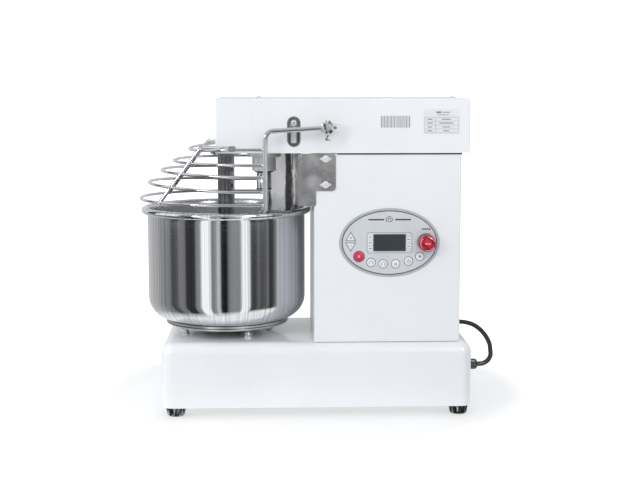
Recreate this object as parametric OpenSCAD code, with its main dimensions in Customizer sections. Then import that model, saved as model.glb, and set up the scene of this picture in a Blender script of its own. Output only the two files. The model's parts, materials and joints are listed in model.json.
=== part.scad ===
// Bench-top spiral dough mixer, 10 litre, with a wire bowl guard.
// Millimetres, +Z up, front towards -Y, bowl at the -X end.

/* [Base] */
// Length of the base housing
base_l = 500; // [490:1:510]
// Depth of the base housing
base_w = 244; // [240:1:250]
// Underside of the base above the bench
base_z0 = 16; // [14:1:18]
// Top face of the base
base_z1 = 121; // [119:1:123]
// Rounding of the base's top edges and corners
base_r = 18; // [10:1:20]

/* [Column and head] */
// Left face of the column
column_x0 = 16; // [16:1:20]
// Right face of the column
column_x1 = 251; // [248:1:253]
// Depth of the column
column_w = 222; // [218:1:224]
// Underside of the head
head_z0 = 425; // [424:1:427]
// Top of the head
head_z1 = 511; // [508:1:516]
// Left end of the head
head_x0 = -139.5; // [-141:0.5:-138]
// Right end of the head
head_x1 = 263.5; // [262:0.5:266]
// Depth of the head
head_w = 228; // [226:1:229]
// Joint between the nose cover and the head cover
seam_x = -81.5; // [-84:0.5:-80]

/* [Bowl] */
// Bowl axis along X
bowl_x = -127; // [-128:1:-127]
// Outer radius of the bowl wall
bowl_r = 131; // [129:1:132]
// Top of the rolled rim
rim_z = 332; // [330:1:334]
// Underside of the bowl
bowl_z0 = 145; // [145:1:146]
// Outer radius of the rounded bottom corner
corner_r = 37; // [35:1:38]

/* [Spiral] */
// Distance from the bowl axis to the spiral axis
spiral_off = 63; // [62:1:64]
// Radius of the spiral's centre line
spiral_r = 37; // [34:1:38]
// Diameter of the spiral's bar
spiral_d = 13; // [10:1:13]

/* [Guard] */
// Guard wires' half spacing across the machine
guard_y = 139; // [138:1:141]
// Diameter of the hoops' wire
wire_d = 5; // [4:0.5:5]
// Diameter of the two carrying rods
rod_d = 8; // [7:0.5:8]
// Guard hinge axis along X
pivot_x = 37; // [36:1:38]
// Guard hinge axis height
pivot_z = 466; // [465:1:467]

/* [Panel] */
// Centre of the oval panel along X
panel_x = 136.5; // [134:0.5:138]
// Centre height of the oval panel
panel_z = 282; // [278:1:286]
// Width of the oval panel
panel_w = 161; // [158:1:164]
// Height of the oval panel
panel_h = 111; // [108:1:114]

/* [Hidden] */
$fn = 64;
sheet = 2;
base_cx = 271 - base_l / 2;
column_cx = (column_x0 + column_x1) / 2;
column_l = column_x1 - column_x0;
column_z1 = head_z0 - 1;
spiral_x = bowl_x + spiral_off;
counter_x = 84;
idler_x = bowl_x + 115;
motor_x = 180;
front_y = -column_w / 2;
foot_xs = [-208, 252];
foot_y = 100;
gap = 0.3;
// Slot in the head's front wall: its axis and the centres of its round ends
slot_x = -16;
slot_z = [445.5, 472.5];
// Axis of the emergency stop
stop_x = 195.3;
stop_z = 282.5;
// Display opening, width and height
display_w = 50;
display_h = 25.4;
// Ring of four nuts round the bowl bearing
nut_ring_r = 78;
nut_angles = [27:90:360];
// Screw places: rear cover, head, foot of the breaker bar, splash shield
cover_screw_x = [-101, 101];
cover_screw_z = [142, 403];
head_screw_x = [-71.5, 251];
bar_screw_x = [-18, 18];
bar_screw_y = [-9, 9];
shield_screw_x = 34.3;
shield_screw_z = [375, 416];
// Lowest level of each belt or chain wheel, and the wheels' widths
belt_z = 196;
belt_wheel_w = 14;
first_chain_z = 40;
bowl_chain_z = 54;
spiral_chain_z = 468;
chain_wheel_w = 8;
// Wheel radii along the drive: motor to countershaft, countershaft to idler, idler to bowl,
// and countershaft to spiral
motor_wheel_r = 22;
counter_wheel_r = 58;
counter_low_r = 14;
idler_big_r = 40;
idler_small_r = 15;
bowl_wheel_r = 80;
counter_top_r = 20;
spiral_wheel_r = 50;
// Cord: outer diameter, gland position, coil centre and coil size
cord_d = 8;
gland_y = -40;
gland_z = 67;
gland_end = 294;
coil_x = 180;
coil_y = 236;
coil_mean_d = 92;
coil_w = 24;
coil_h = 16;
coil_z = 1.2;
// The cord's route from the gland to the coil, chosen by hand
cord_route = [
    [294, -40, 67], [303, -39, 68], [312, -35, 73], [317, -29, 82], [317, -21, 94],
    [312, -12, 107], [303, -3, 118], [292, 6, 125], [280, 15, 127.5], [270, 24, 127],
    [262, 36, 125.6], [257, 50, 125.1], [256, 68, 125.1], [256, 88, 125.1], [256, 106, 125],
    [256, 122, 120], [256, 133, 109], [256, 137.5, 94], [256, 138, 72], [256, 138, 50],
    [256, 140, 34], [255, 147, 19], [252, 158, 8], [243, 170, 4.3], [228, 178, 4.2],
    [208, 181.5, 4.6], [194, 182, 5.2]
];
// The short lead from the coil to the plug
plug_route = [[166, 186, 12.2], [150, 186, 12.4], [130, 186, 12.2], [112, 186, 12]];
plug_x = 72;

// ---- shared shapes ----

// Box centred in X and Y, standing on z0
module block(x, y, z0, z1, cx = 0, cy = 0) {
    translate([cx - x / 2, cy - y / 2, z0]) cube([x, y, z1 - z0]);
}

// Vertical cylinder between two heights
module post(r, z0, z1, x = 0, y = 0) {
    translate([x, y, z0]) cylinder(r = r, h = z1 - z0);
}

// Cylinder along +Y from y0 to y1
module rod_y(r, y0, y1, x, z) {
    translate([x, y0, z]) rotate([-90, 0, 0]) cylinder(r = r, h = y1 - y0);
}

// Rounded rectangle outline centred on the origin
module round_rect(l, w, r) {
    square([l - 2 * r, w], center = true);
    square([l, w - 2 * r], center = true);
    for (x = [-1, 1], y = [-1, 1]) translate([x * (l / 2 - r), y * (w / 2 - r)]) circle(r = r);
}

// Upright prism with rounded vertical corners
module round_prism(l, w, r, z0, z1, cx = 0, cy = 0) {
    translate([cx, cy, z0]) linear_extrude(z1 - z0) round_rect(l, w, r);
}

// Box with rounded vertical corners and rounded top edges
module loaf(l, w, r, z0, z1) {
    round_prism(l, w, r, z0, z1 - r);
    block(l - 2 * r, w - 2 * r, z1 - r - 1, z1);
    for (y = [-1, 1])
        translate([-l / 2 + r, y * (w / 2 - r), z1 - r]) rotate([0, 90, 0]) cylinder(r = r, h = l - 2 * r);
    for (x = [-1, 1])
        translate([x * (l / 2 - r), -w / 2 + r, z1 - r]) rotate([-90, 0, 0]) cylinder(r = r, h = w - 2 * r);
    for (x = [-1, 1], y = [-1, 1])
        translate([x * (l / 2 - r), y * (w / 2 - r), z1 - r]) sphere(r = r);
}

// Outline around two circles on the X axis, as a belt runs
module loop_outline(x0, r0, x1, r1) {
    a = acos((r0 - r1) / (x1 - x0));
    n = 32;
    polygon(concat(
        [for (i = [0:n]) let (t = a + (360 - 2 * a) * i / n) [x0 + r0 * cos(t), r0 * sin(t)]],
        [for (i = [0:n]) let (t = -a + 2 * a * i / n) [x1 + r1 * cos(t), r1 * sin(t)]]
    ));
}

// Belt or chain loop of thickness t around two wheels
module drive_loop(x0, r0, x1, r1, t, z0, z1) {
    translate([0, 0, z0]) linear_extrude(z1 - z0) difference() {
        loop_outline(x0, r0 + t, x1, r1 + t);
        loop_outline(x0, r0, x1, r1);
    }
}

// Grooved wheel: outer radius r with a groove of depth g
module wheel(r, g, z0, z1, x, bore_r) {
    t = z1 - z0;
    translate([x, 0, z0]) rotate_extrude() polygon([
        [bore_r, 0], [r, 0], [r, t * 0.15], [r - g, t * 0.35],
        [r - g, t * 0.65], [r, t * 0.85], [r, t], [bore_r, t]
    ]);
}

// Ring with a bore
module ring(ro, ri, z0, z1, x = 0, y = 0) {
    translate([x, y, z0]) difference() {
        cylinder(r = ro, h = z1 - z0);
        translate([0, 0, -1]) cylinder(r = ri, h = z1 - z0 + 2);
    }
}

// Pan-head screw standing on the origin along +Z with a shank below
module screw(head_r, head_h, shank_r, shank_l) {
    difference() {
        union() {
            cylinder(r = head_r, h = head_h * 0.5);
            cylinder(r1 = head_r, r2 = head_r * 0.55, h = head_h);
        }
        translate([-head_r * 0.6, -0.4, head_h * 0.6]) cube([head_r * 1.2, 0.8, head_h]);
        translate([-0.4, -head_r * 0.6, head_h * 0.6]) cube([0.8, head_r * 1.2, head_h]);
    }
    translate([0, 0, -shank_l]) cylinder(r = shank_r, h = shank_l);
}

// Frame vectors for a sweep
function unit(v) = v / norm(v);
function tangent(p, i) = unit(p[min(i + 1, len(p) - 1)] - p[max(i - 1, 0)]);
function side_of(t) = abs(t[2]) > 0.9 ? unit(cross(t, [0, 1, 0])) : unit(cross(t, [0, 0, 1]));
function carry(t, u) = unit(u - t * (u * t));
function frames(p, i, u) = i >= len(p) ? [] :
    let (t = tangent(p, i), s = carry(t, u)) concat([[t, s, cross(t, s)]], frames(p, i + 1, s));

// Round tube along points p with radius list r, n sides
module tube(p, r, n = 8) {
    f = frames(p, 0, side_of(tangent(p, 0)));
    m = len(p);
    pts = [for (i = [0:m - 1], k = [0:n - 1])
        p[i] + r[i] * (cos(360 * k / n) * f[i][1] + sin(360 * k / n) * f[i][2])];
    sides = [for (i = [0:m - 2], k = [0:n - 1]) each [
        [i * n + k, (i + 1) * n + (k + 1) % n, i * n + (k + 1) % n],
        [i * n + k, (i + 1) * n + k, (i + 1) * n + (k + 1) % n]
    ]];
    ends = [[for (k = [0:n - 1]) k], [for (k = [n - 1:-1:0]) (m - 1) * n + k]];
    polyhedron(points = pts, faces = concat(sides, ends), convexity = 6);
}

// Even radius for every point
function even(p, r) = [for (i = p) r];

// ---- base ----

module base_housing() {
    color("white") difference() {
        translate([base_cx, 0, 0]) loaf(base_l, base_w, base_r, base_z0, base_z1);
        translate([base_cx, 0, 0])
            loaf(base_l - 2 * sheet, base_w - 2 * sheet, base_r - sheet, base_z0 - 1, base_z1 - sheet);
        post(28, base_z1 - 5, base_z1 + 1, bowl_x);
        for (a = nut_angles)
            post(4.2, base_z1 - 5, base_z1 + 1, bowl_x + nut_ring_r * cos(a), nut_ring_r * sin(a));
        block(160, 150, base_z1 - 5, base_z1 + 1, 130);
        translate([260, gland_y, gland_z]) rotate([0, 90, 0]) cylinder(r = 8.2, h = 20);
    }
}

module base_bottom_plate() {
    color("gainsboro") difference() {
        round_prism(base_l - 2 * sheet - 1, base_w - 2 * sheet - 1, base_r - sheet,
                    base_z0, base_z0 + 3, base_cx);
        for (x = foot_xs, y = [-foot_y, foot_y]) post(3.2, base_z0 - 1, base_z0 + 4, x, y);
        for (x = [-150:20:-70]) block(6, 60, base_z0 - 1, base_z0 + 4, x);
    }
}

module foot() {
    rotate_extrude() polygon([
        [0, 0], [11, 0], [13, 1.5], [16, base_z0 - 3], [16.5, base_z0 - 2], [16.5, base_z0], [0, base_z0]
    ]);
    translate([0, 0, base_z0]) cylinder(r = 3, h = 9);
}

module feet() {
    color("#222222") for (x = foot_xs, y = [-foot_y, foot_y]) translate([x, y, 0]) foot();
}

// ---- column ----

module column_housing() {
    color("white") difference() {
        round_prism(column_l, column_w, 3, base_z1, column_z1, column_cx);
        round_prism(column_l - 2 * sheet, column_w - 2 * sheet, 1, base_z1 - 1, column_z1 + 1, column_cx);
        block(195, 20, 145, 400, column_cx, column_w / 2);
        rod_y(11.3, front_y - 5, front_y + 10, stop_x, stop_z);
        block(60, 20, 262, 300, panel_x, front_y);
        for (z = shield_screw_z) rod_y(2.7, front_y - 5, front_y + 10, shield_screw_x, z);
        for (k = round_keys) rod_y(k[2] + gap, front_y - 5, front_y + 10, k[0], k[1]);
        for (k = arrow_keys) rod_y(7.6, front_y - 5, front_y + 10, k[0], k[1]);
        for (x = cover_screw_x, z = cover_screw_z) rod_y(2.2, 100, 130, column_cx + x, z);
    }
}

module rear_cover() {
    color("white") difference() {
        block(215, 2, 135, 410, column_cx, column_w / 2 + 1);
        for (z = [160:14:230], x = [-50, 50])
            block(60, 10, z, z + 5, column_cx + x, column_w / 2);
        for (x = cover_screw_x, z = cover_screw_z) rod_y(2.2, 100, 130, column_cx + x, z);
    }
}

module cover_screws() {
    color("silver") {
        for (x = cover_screw_x, z = cover_screw_z)
            translate([column_cx + x, column_w / 2 + 2, z]) rotate([-90, 0, 0]) screw(4, 2.4, 2, 6);
        for (x = head_screw_x) translate([x, 0, head_z1]) screw(4.6, 2.6, 2, 8);
        for (x = bar_screw_x, y = bar_screw_y)
            translate([bowl_x + x, y, head_z0 - 6]) rotate([180, 0, 0]) screw(3.4, 2.4, 2, 9);
    }
}

// ---- head ----

module head_chassis() {
    l = head_x1 - head_x0 - 2 * sheet - 1;
    cx = (head_x0 + head_x1) / 2;
    color("gainsboro") difference() {
        union() {
            block(l, head_w - 2 * sheet - 1, head_z0, head_z0 + 3, cx);
            for (y = [-1, 1]) block(l, 2, head_z0, head_z0 + 12, cx, y * (head_w / 2 - sheet - 1.6));
        }
        post(28.5, head_z0 - 1, head_z0 + 4, spiral_x);
        block(40, 60, head_z0 - 1, head_z0 + 4, counter_x);
        block(70, 150, head_z0 - 1, head_z0 + 4, motor_x);
        for (x = bar_screw_x, y = bar_screw_y) post(2.2, head_z0 - 1, head_z0 + 4, bowl_x + x, y);
        block(32, 14, head_z0 - 1, head_z0 + 20, slot_x, -107);
    }
}

// Folded sheet cover, open below, between x0 and x1
module folded_cover(x0, x1, open_x0, open_x1) {
    l = x1 - x0;
    difference() {
        round_prism(l, head_w, 2.5, head_z0, head_z1, (x0 + x1) / 2);
        translate([open_x0, -head_w / 2 + sheet, head_z0 - 1])
            cube([open_x1 - open_x0, head_w - 2 * sheet, head_z1 - head_z0 + 1 - sheet]);
    }
}

module nose_cover() {
    color("white") difference() {
        folded_cover(head_x0, seam_x + 10, head_x0 + sheet, seam_x + 20);
        translate([seam_x - 0.2, -200, 0]) cube([60, 400, 600]);
    }
}

module head_cover() {
    color("white") difference() {
        folded_cover(seam_x - 10, head_x1, seam_x - 20, head_x1 - sheet);
        translate([seam_x + 0.2 - 60, -200, 0]) cube([60, 400, 600]);
        translate([0, -90, 0]) rotate([90, 0, 0]) linear_extrude(110) slot_outline(9.4);
        rod_y(7.5, -130, 130, pivot_x, pivot_z);
        for (x = head_screw_x) post(2.2, head_z1 - 5, head_z1 + 1, x);
    }
}

// Slot outline with its long axis upright
module slot_outline(r) {
    for (z = slot_z) translate([slot_x, z]) circle(r = r);
    translate([slot_x - r, slot_z[0]]) square([2 * r, slot_z[1] - slot_z[0]]);
}

module slot_grommet() {
    color("gray") translate([0, -head_w / 2 - 0.8, 0]) rotate([90, 0, 0]) mirror([0, 0, 1])
        difference() {
            union() {
                linear_extrude(0.8) slot_outline(10.4);
                linear_extrude(5) slot_outline(9.2);
            }
            translate([0, 0, -1]) linear_extrude(8) slot_outline(7.6);
        }
}

module belt_tensioner() {
    color("silver") {
        block(24, 8, 436, 484, slot_x, -94);
        rod_y(3.9, -111, -98, slot_x, slot_z[1]);
        rod_y(2.4, -116, -111, slot_x, slot_z[1]);
        post(6, 440, 464, slot_x, -106);
        block(8, 6, 441, 463, slot_x, -100);
        block(10, 30, 478, 482, slot_x, -76);
    }
}

// ---- bearings and housings ----

module bowl_bearing_housing() {
    color("dimgray") difference() {
        union() {
            post(83, base_z1 - sheet - 7, base_z1 - sheet, bowl_x);
            post(32, 72, base_z1 - sheet, bowl_x);
        }
        post(23.5, 60, base_z1 - 4, bowl_x);
        post(20, 60, base_z1 + 1, bowl_x);
        for (a = nut_angles)
            post(4.2, base_z1 - 20, base_z1, bowl_x + nut_ring_r * cos(a), nut_ring_r * sin(a));
    }
}

module bearing_dome_nuts() {
    color("silver") for (a = nut_angles)
        translate([bowl_x + nut_ring_r * cos(a), nut_ring_r * sin(a), 0]) {
            post(4, 100, base_z1);
            translate([0, 0, base_z1]) cylinder(r = 8, h = 1.4);
            translate([0, 0, base_z1 + 1.4]) cylinder(r = 7, h = 5, $fn = 6);
            translate([0, 0, base_z1 + 5]) intersection() {
                sphere(r = 6);
                translate([-7, -7, 0]) cube([14, 14, 7]);
            }
        }
}

// Ball bearing drawn as an outer and an inner race with a shield between
module bearing(ro, ri, z0, z1, x) {
    translate([x, 0, z0]) rotate_extrude() polygon([
        [ri, 0], [ri + 3, 0], [ri + 3, 1], [ro - 3, 1], [ro - 3, 0], [ro, 0],
        [ro, z1 - z0], [ro - 3, z1 - z0], [ro - 3, z1 - z0 - 1], [ri + 3, z1 - z0 - 1],
        [ri + 3, z1 - z0], [ri, z1 - z0]
    ]);
}

module shaft_bearings() {
    fit = 0.03;
    color("lightsteelblue") {
        for (z = [74, 104]) bearing(23.5, 12.5 + fit, z, z + 12, bowl_x);
        for (z = [416, 446]) bearing(23.5, 12.5 + fit, z, z + 12, spiral_x);
        ring(26, 10 + fit, base_z0 + 3, base_z0 + 14, counter_x);
        ring(26, 10 + fit, head_z0 - 10, head_z0, counter_x);
        ring(22, 7.5 + fit, base_z0 + 3, base_z0 + 14, idler_x);
    }
}

module spiral_bearing_housing() {
    color("white") difference() {
        union() {
            post(20, 390, 414.5, spiral_x);
            post(28, 413.5, head_z0 + 3, spiral_x);
            post(45, head_z0 + 3, head_z0 + 9, spiral_x);
            post(29, head_z0 + 3, 460, spiral_x);
        }
        post(23.5, 415.9, 461, spiral_x);
        post(17, 389, 461, spiral_x);
    }
}

// ---- fixed tools over the bowl ----

module breaker_bar() {
    color("silver") {
        translate([bowl_x, 0, 0]) rotate([0, 0, -24]) difference() {
            block(22, 19, 160, head_z0 - 6);
            for (z = [392, 366]) translate([5, 0, z]) rotate([0, 90, 0]) cylinder(r = 3, h = 8);
        }
        difference() {
            block(50, 34, head_z0 - 6, head_z0, bowl_x);
            for (x = bar_screw_x, y = bar_screw_y) post(2.2, head_z0 - 7, head_z0 + 1, bowl_x + x, y);
        }
    }
}

// Plan line of the splash shield: flat front plate, a bend, then an arc inside the bowl's rim
shield_t = 1.5;
shield_arc = [for (t = [-28:2:54]) [bowl_x + 124 * cos(t), 124 * sin(t)]];
shield_front = [[8, front_y - shield_t / 2], [-4, front_y - shield_t / 2], [-9, front_y + 3]];

// Plan strip of even thickness t along the points p
module strip(p, t) {
    m = len(p);
    n = [for (i = [0:m - 1]) let (d = unit(p[min(i + 1, m - 1)] - p[max(i - 1, 0)])) [-d[1], d[0]]];
    polygon(concat(
        [for (i = [0:m - 1]) p[i] + n[i] * t / 2],
        [for (i = [m - 1:-1:0]) p[i] - n[i] * t / 2]
    ));
}

// Front plate's slotted tab, drawn in X and Z
module tab_outline() {
    difference() {
        union() {
            translate([8, 345]) square([11, 79.4]);
            translate([8, 341]) square([7, 4]);
            translate([15, 345]) circle(r = 4);
            translate([18, 365]) square([26.5, 59.4]);
            translate([44, 371]) square([6.5, 47.4]);
            for (z = [371, 418.4]) translate([44.5, z]) circle(r = 6);
        }
        for (z = shield_screw_z) {
            translate([shield_screw_x - 6.6, z - 2.6]) square([13.2, 5.2]);
            for (x = [shield_screw_x - 6.6, shield_screw_x + 6.6]) translate([x, z]) circle(r = 2.6);
        }
    }
}

module splash_shield() {
    color("silver") {
        translate([0, 0, 314]) linear_extrude(27) strip(shield_arc, shield_t);
        translate([0, 0, 341]) linear_extrude(83.4) strip(concat(shield_front, shield_arc), shield_t);
        translate([0, front_y, 0]) rotate([90, 0, 0]) linear_extrude(shield_t) tab_outline();
    }
}

module shield_screws() {
    color("silver") for (z = shield_screw_z)
        translate([shield_screw_x, front_y - 1.5, z]) rotate([90, 0, 0]) {
            screw(4.4, 2.8, 2.2, 8);
            cylinder(r = 5.6, h = 0.8);
        }
}

// ---- control panel ----

// Ellipse outline with half axes a and b
module oval(a, b) {
    polygon([for (t = [0:5:355]) [a * cos(t), b * sin(t)]]);
}

module panel_plate() {
    color("lightgray") translate([panel_x, front_y, panel_z]) rotate([90, 0, 0]) difference() {
        union() {
            linear_extrude(1.2) oval(panel_w / 2, panel_h / 2);
            linear_extrude(2) oval(panel_w / 2 - 5, panel_h / 2 - 4.4);
        }
        translate([-display_w / 2, -display_h / 2, -1]) cube([display_w, display_h, 5]);
        translate([stop_x - panel_x, stop_z - panel_z, -1]) cylinder(r = 11.3, h = 5);
        for (k = round_keys)
            translate([k[0] - panel_x, k[1] - panel_z, -1]) cylinder(r = k[2] + gap, h = 5);
        for (k = arrow_keys) translate([k[0] - panel_x, k[1] - panel_z, -1])
            linear_extrude(5) arrow_outline(k[2], 7.4 + gap);
    }
}

round_keys = [
    [87.6, 259.9, 8.4], [107, 250.1, 6.4], [126.3, 247.8, 6.4], [146.5, 247.7, 6.4],
    [167.1, 252.1, 6.4], [185.3, 259.6, 6.4]
];
arrow_keys = [[74.4, 290, 90], [74.4, 277.4, -90]];

// Triangle pointing along angle a
module arrow_outline(a, r) {
    rotate([0, 0, a]) polygon([for (t = [0, 120, 240]) [r * cos(t), r * sin(t)]]);
}

module round_key(i) {
    k = round_keys[i];
    translate([k[0], front_y - 0.4, k[1]]) rotate([90, 0, 0]) {
        cylinder(r = k[2], h = 2.2);
        translate([0, 0, 2.2]) cylinder(r1 = k[2], r2 = k[2] - 0.8, h = 0.5);
    }
}

module arrow_key(i) {
    k = arrow_keys[i];
    translate([k[0], front_y - 0.4, k[1]]) rotate([90, 0, 0]) linear_extrude(2.6) arrow_outline(k[2], 7.4);
}

module key_stop() { color("crimson") round_key(0); }
module key_1() { color("white") round_key(1); }
module key_2() { color("white") round_key(2); }
module key_3() { color("white") round_key(3); }
module key_4() { color("white") round_key(4); }
module key_5() { color("white") round_key(5); }
module key_up() { color("white") arrow_key(0); }
module key_down() { color("white") arrow_key(1); }

module display_window() {
    color("darkslategray") block(display_w - 2 * gap, 2.6, panel_z - display_h / 2 + gap,
                               panel_z + display_h / 2 - gap, panel_x, front_y - 0.7);
}

module control_board() {
    color("darkgreen") {
        block(110, 1.6, 244, 320, 121, front_y + 12);
        for (x = [70, 172], z = [316]) rod_y(3, front_y + sheet, front_y + 11.2, x, z);
        block(46, 8, 270, 294, panel_x, front_y + 7);
        for (x = [85, 160]) block(12, 6, 300, 312, x, front_y + 15.8);
    }
}

module estop_body() {
    color("dimgray") {
        translate([stop_x, 0, stop_z]) rotate([90, 0, 0]) difference() {
            union() {
                translate([0, 0, 113]) cylinder(r = 14.5, h = 2.5);
                translate([0, 0, 98]) cylinder(r = 11, h = 17.5);
                translate([0, 0, 103]) cylinder(r = 15, h = 4);
            }
            translate([0, 0, 90]) cylinder(r = 8, h = 30);
        }
        difference() {
            block(30, 36, 267, 298, stop_x, -80);
            rod_y(8, -99, -88, stop_x, stop_z);
        }
    }
}

module estop_stem() {
    color("gray") rod_y(7.7, -121, -93, stop_x, stop_z);
}

module estop_head() {
    color("red") translate([stop_x, -121, stop_z]) rotate([90, 0, 0]) difference() {
        rotate_extrude() polygon([
            [0, 0], [11, 0], [14.3, 3], [14.3, 8], [13.2, 11.4], [10.5, 13.4], [0, 14.2]
        ]);
        ring(10, 8.4, 13, 16);
    }
}

// ---- drive ----

module motor_body() {
    color("steelblue") difference() {
        union() {
            post(58, 240, 385, motor_x);
            post(40, 385, 392, motor_x);
            for (a = [0:20:340]) translate([motor_x, 0, 250]) rotate([0, 0, a])
                translate([56, -1.5, 0]) cube([6, 3, 120]);
            block(34, 22, 290, 350, motor_x, 68);
        }
        post(33, 246, 380, motor_x);
        post(8.1, 230, 250, motor_x);
    }
}

module motor_mount() {
    color("dimgray") {
        difference() {
            block(133, column_w - 2 * sheet, 232, 240, 182.5);
            post(30, 230, 242, motor_x);
        }
        for (y = [-103, 103]) block(133, 6, 200, 232, 182.5, y);
    }
}

module motor_rotor() {
    color("silver") {
        post(8, 192, 376, motor_x);
        post(30, 268, 348, motor_x);
    }
}

module motor_pulley() {
    color("dimgray") wheel(motor_wheel_r, 6, belt_z, belt_z + belt_wheel_w, motor_x, 8);
}

module drive_belt() {
    color("#222222") drive_loop(counter_x, counter_wheel_r + gap, motor_x, motor_wheel_r + gap, 5,
                                  belt_z + 2, belt_z + belt_wheel_w - 2);
}

module countershaft() {
    color("silver") {
        post(10, 24, 484, counter_x);
        wheel(counter_wheel_r, 6, belt_z, belt_z + belt_wheel_w, counter_x, 9);
        wheel(counter_low_r, 2, first_chain_z, first_chain_z + chain_wheel_w, counter_x, 9);
        wheel(counter_top_r, 3, spiral_chain_z, spiral_chain_z + chain_wheel_w, counter_x, 9);
    }
}

module idler_shaft() {
    color("silver") {
        post(7.5, 24, 66, idler_x);
        wheel(idler_big_r, 3, first_chain_z, first_chain_z + chain_wheel_w, idler_x, 7);
        wheel(idler_small_r, 2, bowl_chain_z, bowl_chain_z + chain_wheel_w, idler_x, 7);
    }
}

module spiral_chain() {
    color("dimgray") drive_loop(spiral_x, spiral_wheel_r + gap, counter_x, counter_top_r + gap, 4,
                                spiral_chain_z + 1, spiral_chain_z + chain_wheel_w - 1);
}

module base_chains() {
    color("dimgray") {
        drive_loop(idler_x, idler_big_r + gap, counter_x, counter_low_r + gap, 4,
                   first_chain_z + 1, first_chain_z + chain_wheel_w - 1);
        mirror([1, 0, 0]) drive_loop(-idler_x, idler_small_r + gap, -bowl_x, bowl_wheel_r + gap, 4,
                                     bowl_chain_z + 1, bowl_chain_z + chain_wheel_w - 1);
    }
}

module bowl_sprocket() {
    color("gray") difference() {
        wheel(bowl_wheel_r, 3, bowl_chain_z, bowl_chain_z + chain_wheel_w, bowl_x, 12.5);
        for (a = [0:60:300]) post(15, bowl_chain_z - 4, bowl_chain_z + 12, bowl_x + 48 * cos(a), 48 * sin(a));
    }
}

module bowl_shaft() {
    color("dimgray") {
        post(12.5, 52, 122.4, bowl_x);
        post(24, 122.4, 128, bowl_x);
        post(60, 128, 136, bowl_x);
    }
}

// ---- bowl ----

// Bowl wall profile: outer skin then inner skin, with a rolled rim
module mixing_bowl() {
    t = 1.6;
    cz = bowl_z0 + corner_r;
    cr = bowl_r - corner_r;
    color("silver") translate([bowl_x, 0, 0]) rotate_extrude($fn = 96) union() {
        polygon(concat(
            [[0, bowl_z0], [cr, bowl_z0]],
            [for (a = [-85:5:0]) [cr + corner_r * cos(a), cz + corner_r * sin(a)]],
            [[bowl_r, rim_z - 6], [bowl_r - t, rim_z - 6]],
            [for (a = [0:-5:-85]) [cr + (corner_r - t) * cos(a), cz + (corner_r - t) * sin(a)]],
            [[cr, bowl_z0 + t], [0, bowl_z0 + t]]
        ));
        translate([bowl_r + 4.3, rim_z - 5.7]) circle(r = 5.7, $fn = 32);
    }
}

module bowl_collar() {
    color("silver") translate([bowl_x, 0, 0]) rotate_extrude($fn = 96) polygon([
        [50, 136], [98, 136], [102, 138], [102, 145.5], [100, 145.2], [97, 144.95], [50, 144.95]
    ]);
}

// ---- spiral tool ----

// Centre line of the spiral from the shaft to the tip near the bowl's floor
function ease(t) = t <= 0 ? 0 : t >= 1 ? 1 : t * t * (3 - 2 * t);
function spiral_point(t) =
    let (r = 5 + (spiral_r - 5) * ease((t - 0.04) / 0.34) - 16 * ease((t - 0.86) / 0.16),
         a = 10 - 500 * ease((t + 0.12) / 1.12 * 0.96))
    [spiral_x + r * cos(a), r * sin(a), 366 - 206 * t];

module spiral_hook() {
    p = [for (i = [0:56]) spiral_point(i / 56)];
    r = [for (i = [0:56]) i > 54 ? spiral_d / 2 - 1.2 : spiral_d / 2];
    color("silver") {
        post(12.5, 358, 388, spiral_x);
        tube(p, r, 10);
    }
}

module spiral_shaft() {
    color("gray") {
        post(15.5, 388, 406.5, spiral_x);
        post(16.5, 406.5, 413, spiral_x);
        post(12.5, 413, 482, spiral_x);
    }
}

module spiral_sprocket() {
    color("gray") difference() {
        wheel(spiral_wheel_r, 3, spiral_chain_z, spiral_chain_z + chain_wheel_w, spiral_x, 12.5);
        for (a = [0:72:288]) post(9, 460, 480, spiral_x + 31 * cos(a), 31 * sin(a));
    }
}

// ---- guard ----

// Hoops from the top down: nose X, centre X, height at the nose, height at the legs
hoops = [
    [-187, -115, 428, 432], [-213, -98, 408.5, 407.5], [-233.5, -97, 392.5, 388.5],
    [-254.5, -115, 372.5, 365.5], [-268.5, -130, 346, 345]
];
rod_x = -61;

function hoop_points(h) = concat(
    [[rod_x, -guard_y, h[3]]],
    [for (a = [-90:9:90]) [h[1] - (h[1] - h[0]) * cos(a), guard_y * sin(a), h[3] + (h[2] - h[3]) * cos(a)]],
    [[rod_x, guard_y, h[3]]]
);

// Carrying rod: up from the bowl, over a bend and back to the hinge clamp
function rod_points(s) = concat(
    [[rod_x, s * guard_y, 337], [rod_x, s * guard_y, 400]],
    [for (a = [0:15:90]) [rod_x + 13 - 13 * cos(a), s * guard_y, 448 + 13 * sin(a)]],
    [[0, s * guard_y, 463.6], [pivot_x + 7, s * guard_y, pivot_z + 0.3]]
);

// Slanted stay across the hoops, ending along the top hoop's leg
function stay_points(s) = [
    [-231, s * 95, 344], [-214, s * 96, 367], [-166, s * 100, 429.5], [-158, s * 106, 433.5],
    [-148, s * 115, 434.2], [-132, s * 129, 433.8], [-113, s * 138, 434]
];

module guard_cage() {
    color("silver") {
        for (h = hoops) tube(hoop_points(h), even(hoop_points(h), wire_d / 2), 8);
        for (s = [-1, 1]) {
            tube(rod_points(s), even(rod_points(s), rod_d / 2), 10);
            tube(stay_points(s), even(stay_points(s), wire_d / 2), 8);
            for (h = hoops) translate([rod_x, s * guard_y, h[3]])
                hull() for (x = [-5, 5]) translate([x, 0, 0]) sphere(r = 3, $fn = 8);
            translate([-118, s * guard_y - 4, 429]) cube([11, 8, 9]);
        }
    }
}

module guard_shaft() {
    color("silver") for (s = [-1, 1]) {
        y0 = s > 0 ? 92 : -131;
        rod_y(5, y0, y0 + 39, pivot_x, pivot_z);
    }
}

module guard_bushes() {
    color("gray") for (s = [-1, 1]) mirror([0, s > 0 ? 0 : 1, 0]) difference() {
        rod_y(7.4, 104, 117, pivot_x, pivot_z);
        rod_y(5.05, 100, 120, pivot_x, pivot_z);
    }
}

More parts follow.
